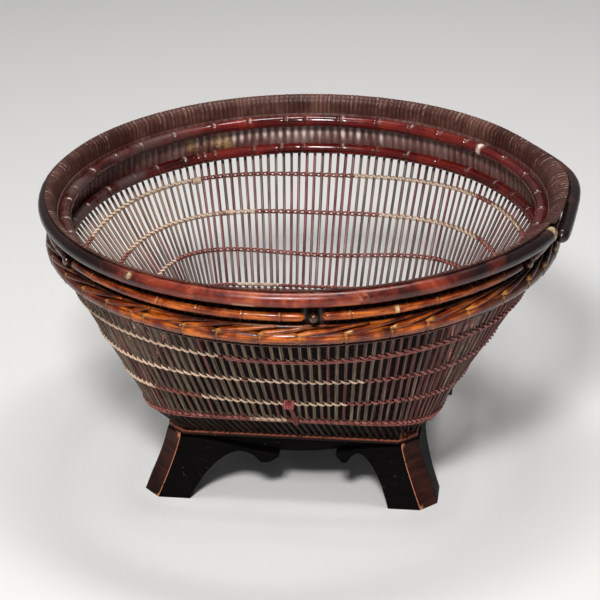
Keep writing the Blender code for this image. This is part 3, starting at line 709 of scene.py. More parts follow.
def make_rows(stakes, look):
    """Each row is a twisted pair of strands; the top and the knee row have a third below."""
    for number, share in enumerate(ROW_PLACE_SHARES):
        row = Row(stakes, FOOT_LEVEL + WALL_HEIGHT * share, ROW_CORNER_RISES[number])

        def pale(ring):
            azimuth = azimuth_of(ring[0])
            return float(any(low <= azimuth <= high for low, high in PALE_STRETCHES[number]))

        for half_turns, node_end, name_end in ((0, "outer", "first"), (1, "inner", "second")):
            skin = Skin()
            for ring, dark in row.twisted(number, math.pi * half_turns):
                skin.ring(ring, pale(ring), dark)
            skin.sweep(float(10 * number + half_turns), closed=True)
            if half_turns:
                for splice_row, azimuth, turns, reach in SPLICES:
                    if splice_row == number:
                        row.splice(skin, azimuth, turns, reach)
            elif number in UNDER_STRANDS:
                height, start, end = UNDER_STRANDS[number]
                drop = (STRAND_HEIGHTS[number] + height) / 2 + UNDER_STRAND_GAP
                for ring, _ in row.single(height, drop - STRAND_LIFTS[number]):
                    if start <= azimuth_of(ring[0]) <= end:
                        skin.ring(ring, UNDER_PALE_SHARE * pale(ring))
                skin.sweep(float(10 * number + 5), closed=end - start > 350.0)
            skin.object(f"twine_row_{number + 1}_{name_end}",
                        f"twine_row_{number + 1}_{node_end}", look)
    skin = Skin()
    # The thin row under the root band, darkened by painted shade
    for ring, _ in Row(stakes, SHOULDER_LEVEL - TOP_ROW_DROP).single(TOP_ROW_HEIGHT):
        skin.ring(ring, dust=TOP_ROW_SHADE)
    skin.sweep(60.0, closed=True)
    skin.object("twine_row_under_root", None, look)


def tie_point(level, across, out):
    """A point in front of the lashed wall, at a height and a distance off the stakes' middle."""
    point = Vector((across, -outline_depth(across, *level_shape(level)), level))
    run = Vector((0.0, KNEE_HALF - WAIST_HALF, WAIST_LEVEL - KNEE_LEVEL)).normalized()
    _, normal, rising = wall_directions(point, run)
    return point + normal * out, normal, rising


def make_tie(look):
    """The red lashing over the two lowest rows: turns on each, and cords between them."""
    skin = Skin()
    half = TIE_CORD / 2
    low = ROW_4_LEVEL + STRAND_LIFTS[3]
    top = FOOT_LEVEL + WALL_HEIGHT * ROW_PLACE_SHARES[2]
    sideways = Vector((1.0, 0.0, 0.0))
    for k in range(TIE_CORDS):
        shift = (k - (TIE_CORDS - 1) / 2) * TIE_CORD
        path = []
        for rise, push, spread in TIE_COURSE_SHARES:
            across = TIE_PLACES[0] + (TIE_PLACES[1] - TIE_PLACES[0]) * rise + shift * spread
            out = HALF_STAKE + half + TIE_CORD * push
            path.append(tie_point(low + (top - low) * rise, across, out)[0])
        for i, point in enumerate(path):
            run = path[min(i + 1, len(path) - 1)] - path[max(i - 1, 0)]
            up = run.cross(sideways).normalized()
            skin.ring(oval(point, sideways, up, half, half, CORD_SIDES))
        skin.sweep(float(k))
    for level, place, turns, reach, bright in zip((low, top), TIE_PLACES, TIE_TURNS, TIE_REACHES,
                                                  TIE_BRIGHT_SHARES):
        steps = [place + (k - (turns - 1) / 2) * TIE_CORD for k in range(turns)]
        points = [tie_point(level, across, HALF_STAKE + half) for across in steps]
        cord_turns(skin, [point for point, _, _ in points], sideways, *points[-1][1:], reach,
                   TIE_CORD, dust=bright)
    skin.object("wall_tie_cords", "wall_tie", look, 50.0)


# Rim

def deepest_patch(patches, ease, *place):
    """How deep a place lies in the nearest of some patches, each with its own measure."""
    return max(clamp(ease(patch, *place)) for patch in patches)


def scuff(patch, azimuth, angle):
    """A scuff of the rim hoop, at an azimuth and a place round the cane."""
    middle, half_angle, direction = patch
    along = 1.0 - abs(turn_between(azimuth, middle)) / half_angle
    around = 1.0 - abs(turn_between(angle, direction)) / SCUFF_REACH
    return 2.0 * min(along, around)


def loss(patch, azimuth, level):
    """A patch of lost lacquer on the lining."""
    middle, half_angle, height, half_height = patch
    return 1.6 - math.hypot(turn_between(middle, azimuth) / half_angle,
                            (level - height) / half_height)


def hoop_place(turned):
    """Centre radius and level of the rim hoop, by the degrees turned from its butt end."""
    full = 360.0 - TAIL_GAP_ANGLE
    to_spring = BUTT_AZIMUTH - SPRING_AZIMUTH + 360.0
    butt = 1.0 - smooth_step(turned / BUTT_TAPER_ANGLE)
    rise = smooth_step(1.0 - abs(turned - to_spring) / SPRING_ANGLE)
    tail = smooth_step((turned - to_spring) / (full - to_spring))
    out = SPRING_OUT * rise * (1.0 - tail) + TAIL_SPREAD * tail
    return RIM_RADIUS + BUTT_SPREAD * butt + out, HOOP_LEVEL - TAIL_DROP * tail


def make_rim_hoop(look):
    """The round cane of the rim, slightly uneven, with rounded ends, scuffs and a cut end."""
    full = 360.0 - TAIL_GAP_ANGLE
    half = HOOP_DIAMETER / 2
    skin = Skin()
    for i in range(HOOP_STEPS + 1):
        turned = full * i / HOOP_STEPS
        azimuth = BUTT_AZIMUTH - turned
        radius, level = hoop_place(turned)
        middle = polar(radius + unevenness(turned * 0.12, 3.1, 0.0) * HOOP_WOBBLE, azimuth, level)
        end = min(turned, full - turned) * math.radians(RIM_RADIUS) / half
        end = round_end(end * 0.9, 0.015)
        # The cut rim at the butt end: bare cane, painted pale also as a highlight
        cap = smooth_step(2.0 - 2.0 * abs(turned / BUTT_CAP_ANGLE - BUTT_CAP_SHARE))
        ring = []
        bare = []
        dust = []
        for angle in angles(HOOP_SIDES):
            out, up, _ = Vector((math.cos(angle), math.sin(angle), 0.0))
            uneven = unevenness(turned * 0.35, out * 1.3, up * 1.3 + 7.0)
            reach = half * (1.0 + 0.035 * uneven) * end
            ring.append(middle + outward(azimuth) * (reach * out) + UP * (reach * up))
            bare.append(max(deepest_patch(HOOP_SCUFFS, scuff, azimuth, math.degrees(angle)), cap))
            dust.append(clamp(up * 0.8 - out * 0.5))
        skin.ring(ring, bare, dust)
    skin.sweep()
    skin.object("rim_hoop_cane", "rim_hoop", look)


def make_rim_collar(look):
    """Strips of cane wound over the inner top of the hoop, side by side."""
    seat = HOOP_DIAMETER / 2 + TOUCH + COLLAR_SLACK
    low = STAKE_TOP_LEVEL - TOUCH
    dice = random.Random(RANDOM_SEED)
    widths = [1.0 + 0.25 * dice.uniform(-1.0, 1.0) for _ in range(COLLAR_WRAPS)]
    swells = [dice.uniform(0.15, 1.0) for _ in range(COLLAR_WRAPS)]
    total = sum(widths)
    span = COLLAR_ANGLES[0] - COLLAR_ANGLES[-1]
    skin = Skin()
    azimuth = 0.0
    for width, swell in zip(widths, swells):
        for step in range(COLLAR_STEPS):
            here = azimuth + 360.0 * width / total * step / COLLAR_STEPS
            rib = math.sqrt(max(0.0, 1.0 - (2.0 * (step + 0.5) / COLLAR_STEPS - 1.0) ** 2))
            thick = COLLAR_THICKNESS * (0.62 + 0.30 * rib + 0.28 * rib * swell)
            spread = hoop_place((BUTT_AZIMUTH - here) % 360.0)[0] - RIM_RADIUS
            outer = [polar(RIM_WALL_RADIUS + HALF_STAKE, here, low)]
            inner = [polar(RIM_WALL_RADIUS - HALF_STAKE - thick * 0.3, here, low)]
            for angle in COLLAR_ANGLES:
                turn = math.radians(angle)
                lean = COLLAR_SPREAD_SHARE * spread * (COLLAR_ANGLES[0] - angle) / span
                for line, reach in ((outer, seat), (inner, seat + thick)):
                    line.append(polar(RIM_RADIUS + reach * math.cos(turn) + lean, here,
                                      HOOP_LEVEL + reach * math.sin(turn)))
            # Painted highlights on the crests and painted shade in the grooves between strips,
            # carried by the dust mark
            lit = smooth_step(rib * 6.0 - 4.9) * swell ** 2
            groove_shade = clamp(1.1 * (1.0 - rib))
            marks = [groove_shade - lit * share for share in COLLAR_CREST_SHARES]
            skin.ring(outer + inner[::-1], dust=[0.0] * len(outer) + marks)
        azimuth += 360.0 * width / total
    skin.sweep(closed=True)
    skin.object("rim_collar_wraps", "rim_collar", look, 60.0)


def make_rim_lining(dice, look):
    """The lining inside the upright rim wall: a ring of slivers, each bowed out of the wall."""
    ribs = len(SIDE_NAMES) * (SIDE_STAKES + CORNER_STAKES)
    low = SHOULDER_LEVEL + LINING_LIFT
    skin = Skin()
    for rib in range(ribs):
        bow = LINING_BOW * dice.uniform(0.7, 1.3)
        belly = dice.uniform(0.40, 0.47)
        here = 360.0 * rib / ribs
        off = max(LINING_SHINE[0] - here, here - LINING_SHINE[1]) / LINING_SHINE[2]
        shine = dice.uniform(0.15, 1.0) * (0.15 + 0.85 * smooth_step(1.0 - off))
        for step in range(LINING_STEPS):
            azimuth = 360.0 * (rib + step / LINING_STEPS) / ribs
            crest = math.sin(math.pi * (step + 0.5) / LINING_STEPS) ** 0.7
            ring = [polar(LINING_OUTER, azimuth, level) for level in (STAKE_TOP_LEVEL, low)]
            # The two points against the wall take full painted shade
            dust = [1.0, 1.0]
            lost = [0.0, 0.0]
            for row in range(LINING_ROWS + 1):
                share = row / LINING_ROWS
                level = low + (STAKE_TOP_LEVEL - low) * share
                bulge = 1.0 - min(abs(share - belly) * 2.2, 1.0) ** 2
                radius = LINING_OUTER - LINING_THICKNESS + LINING_BOW * 0.3
                ring.append(polar(radius - bow * crest * (0.35 + 0.65 * bulge), azimuth, level))
                # Painted shade between the slivers and a painted highlight along each crest, carried
                # by the dust mark
                lit = 1.8 * shine * hump((share - belly) / 0.14)
                dust.append(0.7 * clamp(1.0 - crest) - lit * smooth_step(crest * 3.0 - 1.9))
                lost.append(deepest_patch(LINING_PATCHES, loss, azimuth, level))
            skin.ring(ring, lost, dust)
    skin.sweep(closed=True)
    skin.object("rim_lining_ribs", "rim_lining", look, 60.0)


def spread_knots(start, end, steps, dice):
    """Azimuths of knots from start to end, at uneven steps."""
    knots = []
    place = start + dice.uniform(*steps) * 0.5
    while place < end - steps[0] * 0.3:
        knots.append(place)
        place += dice.uniform(*steps)
    return knots


def knotted_cane(skin, radius, level, start, end, half, knots, number, style, gold):
    """A bent cane with knots and a painted highlight beside each, between two azimuths; gold names
    knots that are rubbed bright.
    """
    swell, pinch, reach, highlight_lean = style
    count = max(int((end - start) / CANE_STEP_ANGLE), 4)
    places = [start + (end - start) * i / count for i in range(count + 1)]
    for knot in knots:
        places += [knot + math.degrees(reach / radius) * share for share in KNOT_STEP_SHARES]
    for azimuth in sorted(place for place in places if start <= place <= end):
        scale = 1.0
        dark = 0.0
        bright = 0.0
        for knot in knots:
            away = math.radians(azimuth - knot) * radius / reach
            if abs(away) < 4.0:
                lively = 0.5 + 0.5 * math.sin(knot * 2.3 + number)
                scale *= 1.0 + swell * hump((abs(away) - 1.0) * 1.6) - pinch * hump(away * 2.2)
                dark = max(dark, (0.55 + 0.45 * lively) * hump(away * 1.7))
                bright = max(bright, (0.35 + 0.65 * lively) * hump((away + 0.9) * 2.4))
                if knot in gold:
                    bright = 1.4 * hump(away * 0.8)
                    dark = 0.0
        scale *= round_end(math.radians(min(azimuth - start, end - azimuth)) * radius / half, 0.04)
        drift = unevenness(azimuth * 0.09, number * 3.7, 0.5) * CANE_WANDER
        middle = polar(radius, azimuth, level + drift)
        marks = []
        # The bare mark: a painted highlight beside each knot where the cane faces up; gold knots are
        # rubbed bright all round
        for angle in angles(CANE_SIDES):
            facing_up = smooth_step(math.sin(angle) * 2.2 + highlight_lean * 1.6 * math.cos(angle) - 1.5)
            marks.append(bright * (1.0 if gold and not dark and bright > 0.5 else facing_up))
        skin.ring(oval(middle, outward(azimuth), UP, half * scale, half * scale, CANE_SIDES),
                  marks, dark)
    skin.sweep(number)


def make_inner_hoops(look):
    """Two red hoops of knotted bamboo inside the lining, each with its joint at the front."""
    half = INNER_HOOP_DIAMETER / 2
    centre = INNER_SEAT - half
    joint = math.degrees(BAND_JOINT_GAP / centre) / 2
    for node, level, near_knots, gold in (
            ("inner_hoop_low", SHOULDER_LEVEL + INNER_HOOP_LOW_LIFT, LOW_HOOP_KNOTS, ()),
            ("inner_hoop_high", STAKE_TOP_LEVEL - INNER_HOOP_HIGH_DROP, HIGH_HOOP_KNOTS,
             HIGH_GOLD_KNOTS)):
        skin = Skin()
        dice = random.Random(RANDOM_SEED + len(node))
        knots = spread_knots(-90.0, near_knots[0] - 4.0, INNER_HOOP_STEPS, dice)
        knots += list(near_knots)
        knots += spread_knots(near_knots[-1] + 4.0, 270.0, INNER_HOOP_STEPS, dice)
        knotted_cane(skin, centre, level, -90.0 + joint, 270.0 - joint, half, knots,
                     float(len(node)), INNER_HOOP_STYLE, gold)
        skin.object(node + "_cane", node, look)


def make_small_hoops(dice, look):
    """Slender knotted canes under the rim hoop, each running from one peg to the next."""
    half = SMALL_HOOP_DIAMETER / 2 * SMALL_HOOP_SWELL
    centre = OUTER_SEAT + half
    clear_angle = math.degrees(PEG_CLEARANCE / centre)
    ends = (*PEG_AZIMUTHS[1:], PEG_AZIMUTHS[0] + 360.0)
    for number, (start, end) in enumerate(zip(PEG_AZIMUTHS, ends)):
        knots = SMALL_HOOP_KNOTS.get(number)
        if knots is None:
            knots = spread_knots(start, end, SMALL_HOOP_KNOT_STEPS, dice)
        skin = Skin()
        knotted_cane(skin, centre, SMALL_HOOP_LEVEL, start + clear_angle, end - clear_angle, half,
                     knots, float(number), SMALL_HOOP_STYLE, GOLD_KNOTS)
        skin.object(f"small_hoop_{number + 1}_cane", f"small_hoop_{number + 1}", look)


def make_root_band(dice, look):
    """Knotted root: a stout cane with a branch that springs from each knot and tapers off."""
    knots = list(ROOT_KNOTS)
    while knots[-1] < 360.0 + ROOT_KNOTS[0] - ROOT_KNOT_STEPS[1] * 0.9:
        knots.append(knots[-1] + dice.uniform(*ROOT_KNOT_STEPS))
    gaps = [there - here for here, there in zip(knots, knots[1:] + [knots[0] + 360.0])]
    skin = Skin()
    for knot, gap in zip(knots, gaps):
        for share in ROOT_CANE_SHARES:
            root_cane_ring(skin, knot + gap * share, share, math.radians(gap) * OUTER_SEAT)
    skin.sweep(1.0, closed=True)
    low = ROOT_LOW_LEVEL + ROOT_CANE_HALF_UP
    top = ROOT_LOW_LEVEL + ROOT_HEIGHT
    # The backing behind the branches, painted dark all over as the shade of the recess
    for azimuth in range(0, 360, ROOT_STEP_ANGLE):
        swell = ROOT_BACKING * (1.0 + 0.5 * unevenness(azimuth * 0.5, 9.0, 0.0))
        corners = ((0.0, low), (swell, low), (swell, top - swell), (swell * 0.4, top), (0.0, top))
        skin.ring([polar(OUTER_SEAT + out, azimuth, level) for out, level in corners], 1.0)
    skin.sweep(2.0, closed=True)
    for number, (knot, gap) in enumerate(zip(knots, gaps)):
        root_branch(skin, knot, gap, number, dice)
    skin.object("root_band_canes", "root_band", look)


def root_cane_ring(skin, azimuth, share, length):
    """A section of the lower cane of the root band, pinched, ringed and darker at its knots, with
    painted shade above and below and a painted highlight on each knot's lip.
    """
    lip = hump((share * length - ROOT_LIP) / ROOT_LIP, 2.5)
    joint = hump(min(share, 1.0 - share) * length / ROOT_LIP, 3.0)
    ends = max(smooth_step((share - 0.60) / 0.36), smooth_step((0.22 - share) / 0.20)) * 0.85
    grow = 1.0 + 0.12 * lip - 0.20 * joint + 0.03 * math.sin(math.pi * share) ** 2
    ring = []
    bare = []
    dust = []
    for angle in angles(ROOT_SIDES):
        rise = math.sin(angle)
        swell = grow * (1.0 + 0.07 * unevenness(azimuth * 0.8, rise * 1.5, 4.0))
        out = ROOT_CANE_HALF_OUT * (1.0 + math.cos(angle) * swell)
        up = ROOT_CANE_HALF_UP * (1.0 + rise * swell)
        ring.append(polar(OUTER_SEAT + out, azimuth, ROOT_LOW_LEVEL - ROOT_DROP + up))
        # Painted shade on the lower and upper sides, darker joints, and darker toward the segment
        # ends
        bare.append(max(smooth_step(-rise * 2.1 - 0.70), smooth_step(rise * 2.2 - 1.2) * 0.8,
                        joint, ends * (1.0 - lip * 0.6)))
        # A painted highlight on the upper front of each knot's lip
        dust.append(lip * smooth_step(rise * 1.6 + 0.3) * smooth_step(2.6 - rise * 3.0))
    skin.ring(ring, bare, dust)


def root_branch(skin, knot, gap, number, dice):
    """A branch: a pale tip on the cane, then a leaf-like taper that climbs the band."""
    reach = gap * dice.uniform(1.35, 1.70)
    first = ROOT_BRANCH_HALF * dice.uniform(0.90, 1.12)
    low = ROOT_LOW_LEVEL - ROOT_DROP + ROOT_CANE_HALF_UP * 2.0 - ROOT_BRANCH_HALF * 0.30
    top = ROOT_LOW_LEVEL + ROOT_HEIGHT - ROOT_BRANCH_HALF * 0.35
    for i in range(BRANCH_STEPS + 1):
        share = i / BRANCH_STEPS
        azimuth = knot - gap * 0.02 + reach * share
        half = first * (0.28 + 0.72 * smooth_step(share / 0.16))
        half *= 1.0 - 0.70 * max(share - 0.1, 0.0) ** 0.85
        drift = unevenness(azimuth * 0.5, number * 2.0, 0.0) * ROOT_BRANCH_HALF * 0.2
        level = low + (top - low) * smooth_step(0.08 + share * 0.86)
        out = OUTER_SEAT + ROOT_CANE_HALF_OUT * (1.55 - 1.0 * share)
        middle = polar(out, azimuth, level + drift)
        # Painted shade on the underside, and darker toward the far end
        marks = [max(smooth_step(-math.sin(angle) * 1.9 + 0.25),
                     0.85 * smooth_step(share * 1.7 - 0.35)) for angle in angles(BRANCH_SIDES)]
        skin.ring(oval(middle, outward(azimuth), UP, half, half * 1.05, BRANCH_SIDES), marks,
                  hump((share - 0.06) / 0.045))
    skin.sweep(3.0 + number)


def make_pegs(look):
    """Six bamboo pegs in the rim wall, each with a rounded head."""
    for number, azimuth in enumerate(PEG_AZIMUTHS):
        skin = Skin()
        for share, size in PEG_HEAD_SHARES:
            middle = polar(OUTER_SEAT + PEG_LENGTH * share, azimuth, SMALL_HOOP_LEVEL)
            half = PEG_DIAMETER / 2 * size
            skin.ring(oval(middle, UP.cross(outward(azimuth)), UP, half, half, PEG_SIDES))
        skin.sweep(float(number))
        skin.object(f"rim_peg_{number + 1}_head", f"rim_peg_{number + 1}", look)


# Stand

def foot_reach(level):
    """How far the middle of a foot's outer face stands out along each side, by height."""
    return FOOT_TOP_REACH + FOOT_SPLAY * (1.0 - clamp(level / STAND_HEIGHT)) ** FOOT_FLARE_POWER


def apron_edge(across):
    """Height of the bowed lower edge of an apron."""
    span = FOOT_TOP_REACH - FOOT_CANT
    bow = math.cos(math.pi / 2 * min(abs(across) / span, 1.0)) ** 2
    return STAND_HEIGHT - APRON_EDGE - APRON_BOW * bow


def edged(node, name_end, sections, look, turn, round_edge, rubbed=None):
    """A wooden body over sections, its sharp edges rounded, and rubbed where rubbed says so."""
    mesh = bmesh.new()
    strand = mesh.verts.layers.float_vector.new("strand")
    bare = mesh.verts.layers.float.new("bare")
    mesh.verts.layers.float.new("dust")
    rows = [[mesh.verts.new(place) for place in section] for section in sections]
    for vertex in mesh.verts:
        vertex[strand] = (vertex.co.x, vertex.co.z, float(turn))
    for here, there in zip(rows, rows[1:]):
        for k in range(len(here)):
            after = (k + 1) % len(here)
            mesh.faces.new((here[k], here[after], there[after], there[k]))
    for rim in (rows[0][::-1], rows[-1]):
        for k in range(len(rim) // 2 - 1):
            mesh.faces.new((rim[k], rim[k + 1], rim[-2 - k], rim[-1 - k]))
    bmesh.ops.recalc_face_normals(mesh, faces=mesh.faces)
    sharp = [edge for edge in mesh.edges if len(edge.link_faces) == 2
             and edge.calc_face_angle() > math.radians(BEVEL_ANGLE)]
    made = bmesh.ops.bevel(mesh, geom=sharp, offset=round_edge, segments=BEVEL_STEPS,
                           profile=0.5, affect="EDGES", clamp_overlap=True)
    if rubbed:
        for vertex in {vertex for face in made["faces"] for vertex in face.verts}:
            vertex[bare] = float(rubbed(vertex.co))
    mesh.transform(Matrix.Rotation(math.radians(90.0 * turn), 4, "Z"))
    name = f"{node}_{name_end}"
    settle(name, node, mesh, bpy.data.meshes.new(name), look, 40.0)


def make_rail(side, side_name, look):
    """One side of the frame that the wall stands on; only its upper outer edge is rubbed."""
    inner = RAIL_HALF - RAIL_WIDTH
    cut = RAIL_HALF - RAIL_CANT / 2
    middle_level = (RAIL_LOW_LEVEL + RAIL_TOP_LEVEL) / 2
    sections = []
    for i in range(RAIL_STEPS + 1):
        share = 2.0 * i / RAIL_STEPS - 1.0
        front = (share * cut, -min(RAIL_HALF, 2.0 * cut - abs(share * cut)))
        behind = (share * (inner + TOUCH), -inner)
        near = Vector((*front, RAIL_TOP_LEVEL))
        back = Vector((*behind, RAIL_TOP_LEVEL))
        sections.append([Vector((*front, RAIL_LOW_LEVEL)), Vector((*behind, RAIL_LOW_LEVEL)),
                         back, near + (back - near).normalized() * RUB_WIDTH,
                         near, Vector((*front, middle_level))])
    edged(f"stand_rail_{side_name}", "strip", sections, look, side, RAIL_ROUNDING,
          lambda point: point.z > middle_level and point.y < -inner - RAIL_WIDTH / 3)


def make_foot(corner, corner_name, look):
    """A splayed foot with a canted outer face, rubbed along the arris nearer front or back."""
    sections = []
    for i in range(FOOT_STEPS + 1):
        level = STAND_HEIGHT * i / FOOT_STEPS
        near = foot_reach(level) - FOOT_CANT
        far = foot_reach(level) + FOOT_CANT
        deep = far - WING_THICKNESS
        corners = [Vector((*place, level))
                   for place in ((near, -far), (far, -near), (deep, -near), (near, -deep))]
        sections.append([start.lerp(end, share) for start, end, cuts in
                         zip(corners, corners[1:] + corners[:1], FOOT_CUT_SHARES)
                         for share in cuts])

    def on_arris(point):
        edge = foot_reach(point.z) + FOOT_CANT - FOOT_ROUNDING * 1.6
        return (-point.y if corner % 2 == 0 else point.x) > edge

    edged(f"foot_{corner_name}", "block", sections, look, corner, FOOT_ROUNDING, on_arris)


def make_wing(way, way_name, side, side_name, look):
    """An ogee bracket wing that springs from a foot and ends in a small scroll."""
    top = STAND_HEIGHT - APRON_EDGE
    shapes = [(None, 0.0, top)]
    last = len(ARCH_SHARES) - 1
    arch = [Vector((*shares, 0.0)) for shares in ARCH_SHARES]
    for i in range(ARCH_STEPS + 1):
        place = last * i / ARCH_STEPS
        k = min(int(place), last - 1)
        near = [arch[int(clamp(k + step, 0, last))] for step in (-1, 0, 1, 2)]
        point = spline(*near, place - k)
        across = WING_FOOT_INNER + (WING_TIPS[way_name] - WING_FOOT_INNER) * point.x
        high = apron_edge(across)
        shapes.append((across, high * clamp(point.y), high))
    sections = []
    for across, low, high in shapes:
        front = []
        behind = []
        for row in range(WING_ROWS + 1):
            level = low + (high - low) * row / WING_ROWS
            reach = foot_reach(level)
            x = way * (reach - FOOT_CANT if across is None else across)
            front.append(Vector((x, -reach - FOOT_CANT + WING_STEP, level)))
            behind.append(Vector((x, -reach - FOOT_CANT + WING_THICKNESS, level)))
        sections.append(front + behind[::-1])
    edged(f"wing_{way_name}_{side_name}", "bracket", sections, look, side, BOARD_ROUNDING)


def make_stand(wood, foot_wood, red):
    """Rails, bowed aprons, canted feet and ogee wings."""
    face = RAIL_HALF - APRON_SETBACK
    back = face - APRON_THICKNESS
    reach = FOOT_TOP_REACH - FOOT_CANT
    for side, side_name in enumerate(SIDE_NAMES):
        make_rail(side, side_name, red)
        sections = []
        for i in range(APRON_STEPS + 1):
            across = reach * (2.0 * i / APRON_STEPS - 1.0)
            low = apron_edge(across)
            sections.append([Vector((across, *place)) for place in (
                (-face, low), (-back, low), (-back, STAND_HEIGHT), (-face, STAND_HEIGHT))])
        edged(f"apron_{side_name}", "board", sections, wood, side, BOARD_ROUNDING)
        for way, way_name in ((1.0, "right"), (-1.0, "left")):
            make_wing(way, way_name, side, side_name, wood)
    for corner, corner_name in enumerate(CORNER_NAMES):
        make_foot(corner, corner_name, foot_wood)


def make_floor_mat(look):
    """The woven floor: flat strips that pass over and under each other."""
    half = FOOT_HALF - STAKE_THICKNESS - MAT_MARGIN
    pitch = 2.0 * half / MAT_STRIPS
    width = pitch * MAT_WIDTH_SHARE
    middle_level = RAIL_TOP_LEVEL + TOUCH + MAT_THICKNESS / 2
    skin = Skin()
    for way in (0, 1):
        for i in range(MAT_STRIPS):
            across = -half + pitch * (i + 0.5)
            reach = half - max(abs(across) + RAIL_CANT - half, 0.0)
            for j in range(2 * MAT_STRIPS + 1):
                along = reach * (j / MAT_STRIPS - 1.0)
                wave = math.sin(math.pi * ((along + half) / pitch + i + way))
                level = middle_level - wave * (MAT_THICKNESS - MAT_STRIP_THICKNESS) / 2
                ring = []
                for side_share, up_share in ((-0.5, -0.5), (0.5, -0.5), (0.5, 0.5), (-0.5, 0.5)):
                    y = across + side_share * width
                    z = level + up_share * MAT_STRIP_THICKNESS
                    ring.append(Vector((y, -along, z) if way else (along, y, z)))
                skin.ring(ring)
            skin.sweep(float(200 + way * MAT_STRIPS + i))
    skin.object("floor_mat_weave", "floor_mat", look, 50.0)


# Materials

# Sockets of a mix node that mixes colours
MIX_FACTOR = 0
MIX_FIRST = 6
MIX_SECOND = 7
MIX_RESULT = 2


class Graph:
    """Builds the nodes of one material."""

    def __init__(self, name):
        self.material = bpy.data.materials.new(name)
        self.material.use_nodes = True
        self.tree = self.material.node_tree
        self.shader = self.tree.nodes["Principled BSDF"]

    def feed(self, node, inputs):
        """Link or set a node's inputs; a colour is given without its alpha."""
        for key, value in inputs.items():
            socket = node.inputs[key]
            if isinstance(value, bpy.types.NodeSocket):
                self.tree.links.new(value, socket)
            else:
                socket.default_value = (*value, 1.0) if socket.type == "RGBA" else value

    def node(self, kind, output, inputs=None, **settings):
        made = self.tree.nodes.new("ShaderNode" + kind)
        for key, value in settings.items():
            setattr(made, key, value)
        self.feed(made, inputs or {})
        return made.outputs[output]

    def mark(self, name):
        """A mark that the geometry carries."""
        return self.node("Attribute", "Vector" if name == "strand" else "Fac",
                         attribute_name=name)

    def place(self, part=None):
        """The place on the basket, or one of its three numbers."""
        place = self.node("TexCoord", "Object")
        return self.node("SeparateXYZ", part, {"Vector": place}) if part else place

    def upward(self):
        """How far a surface faces up, from 0 to 1."""
        return self.node("SeparateXYZ", "Z", {"Vector": self.node("NewGeometry", "Normal")})

    def noise(self, scale, detail, roughness=0.6, distortion=0.0, vector=None):
        return self.node("TexNoise", "Fac", {
            "Vector": vector or self.place(), "Scale": scale, "Detail": detail,
            "Roughness": roughness, "Distortion": distortion})

    def fibre(self, scale, detail=4.0, roughness=0.6):
        """Noise drawn out along the strand."""
        vector = self.node("Mapping", "Vector", {"Vector": self.mark("strand"), "Scale": scale})
        return self.noise(1.0, detail, roughness, 0.0, vector)

    def ramp(self, value, places, colours):
        made = self.tree.nodes.new("ShaderNodeValToRGB")
        self.feed(made, {"Fac": value})
        elements = made.color_ramp.elements
        while len(elements) < len(places):
            elements.new(0.5)
        for element, place, colour in zip(elements, places, colours):
            element.position = place
            element.color = (*colour, 1.0)
        return made.outputs["Color"]

    def spread(self, value, low, high, to_low=0.0, to_high=1.0):
        """Map a range of a value onto another, clamped."""
        return self.node("MapRange", "Result", {
            "Value": value, "From Min": low, "From Max": high, "To Min": to_low,
            "To Max": to_high}, interpolation_type="SMOOTHSTEP")

    def math(self, operation, first, second):
        return self.node("Math", 0, {0: first, 1: second}, operation=operation, use_clamp=True)

    def times(self, *values):
        """The product of several values."""
        product = values[0]
        for value in values[1:]:
            product = self.math("MULTIPLY", product, value)
        return product

    def blend(self, first, second, share):
        return self.math("ADD", self.times(first, share), self.times(second, 1.0 - share))

    def over(self, colour, tint, *shares):
        """A tint laid over a colour, as strongly as its shares multiplied."""
        return self.node("Mix", MIX_RESULT, {
            MIX_FACTOR: self.times(*shares), MIX_FIRST: colour, MIX_SECOND: tint},
            data_type="RGBA")

    def bump(self, height, distance, strength):
        self.feed(self.shader, {"Normal": self.node("Bump", "Normal", {
            "Height": height, "Distance": distance, "Strength": strength})})

    def finish(self, colour, roughness, coat=0.0, coat_roughness=0.15, specular=0.5):
        self.feed(self.shader, {
            "Base Color": colour, "Roughness": roughness, "Coat Weight": coat,
            "Coat Roughness": coat_roughness, "Specular IOR Level": specular})
        return self.material


def side_shade(graph):
    """How far a place lies toward the left and right ends of the rim, where shade is painted."""
    across = graph.place("X")
    return graph.math("MAXIMUM", graph.spread(across, -0.075, -0.130),
                      graph.spread(across, 0.085, 0.135))


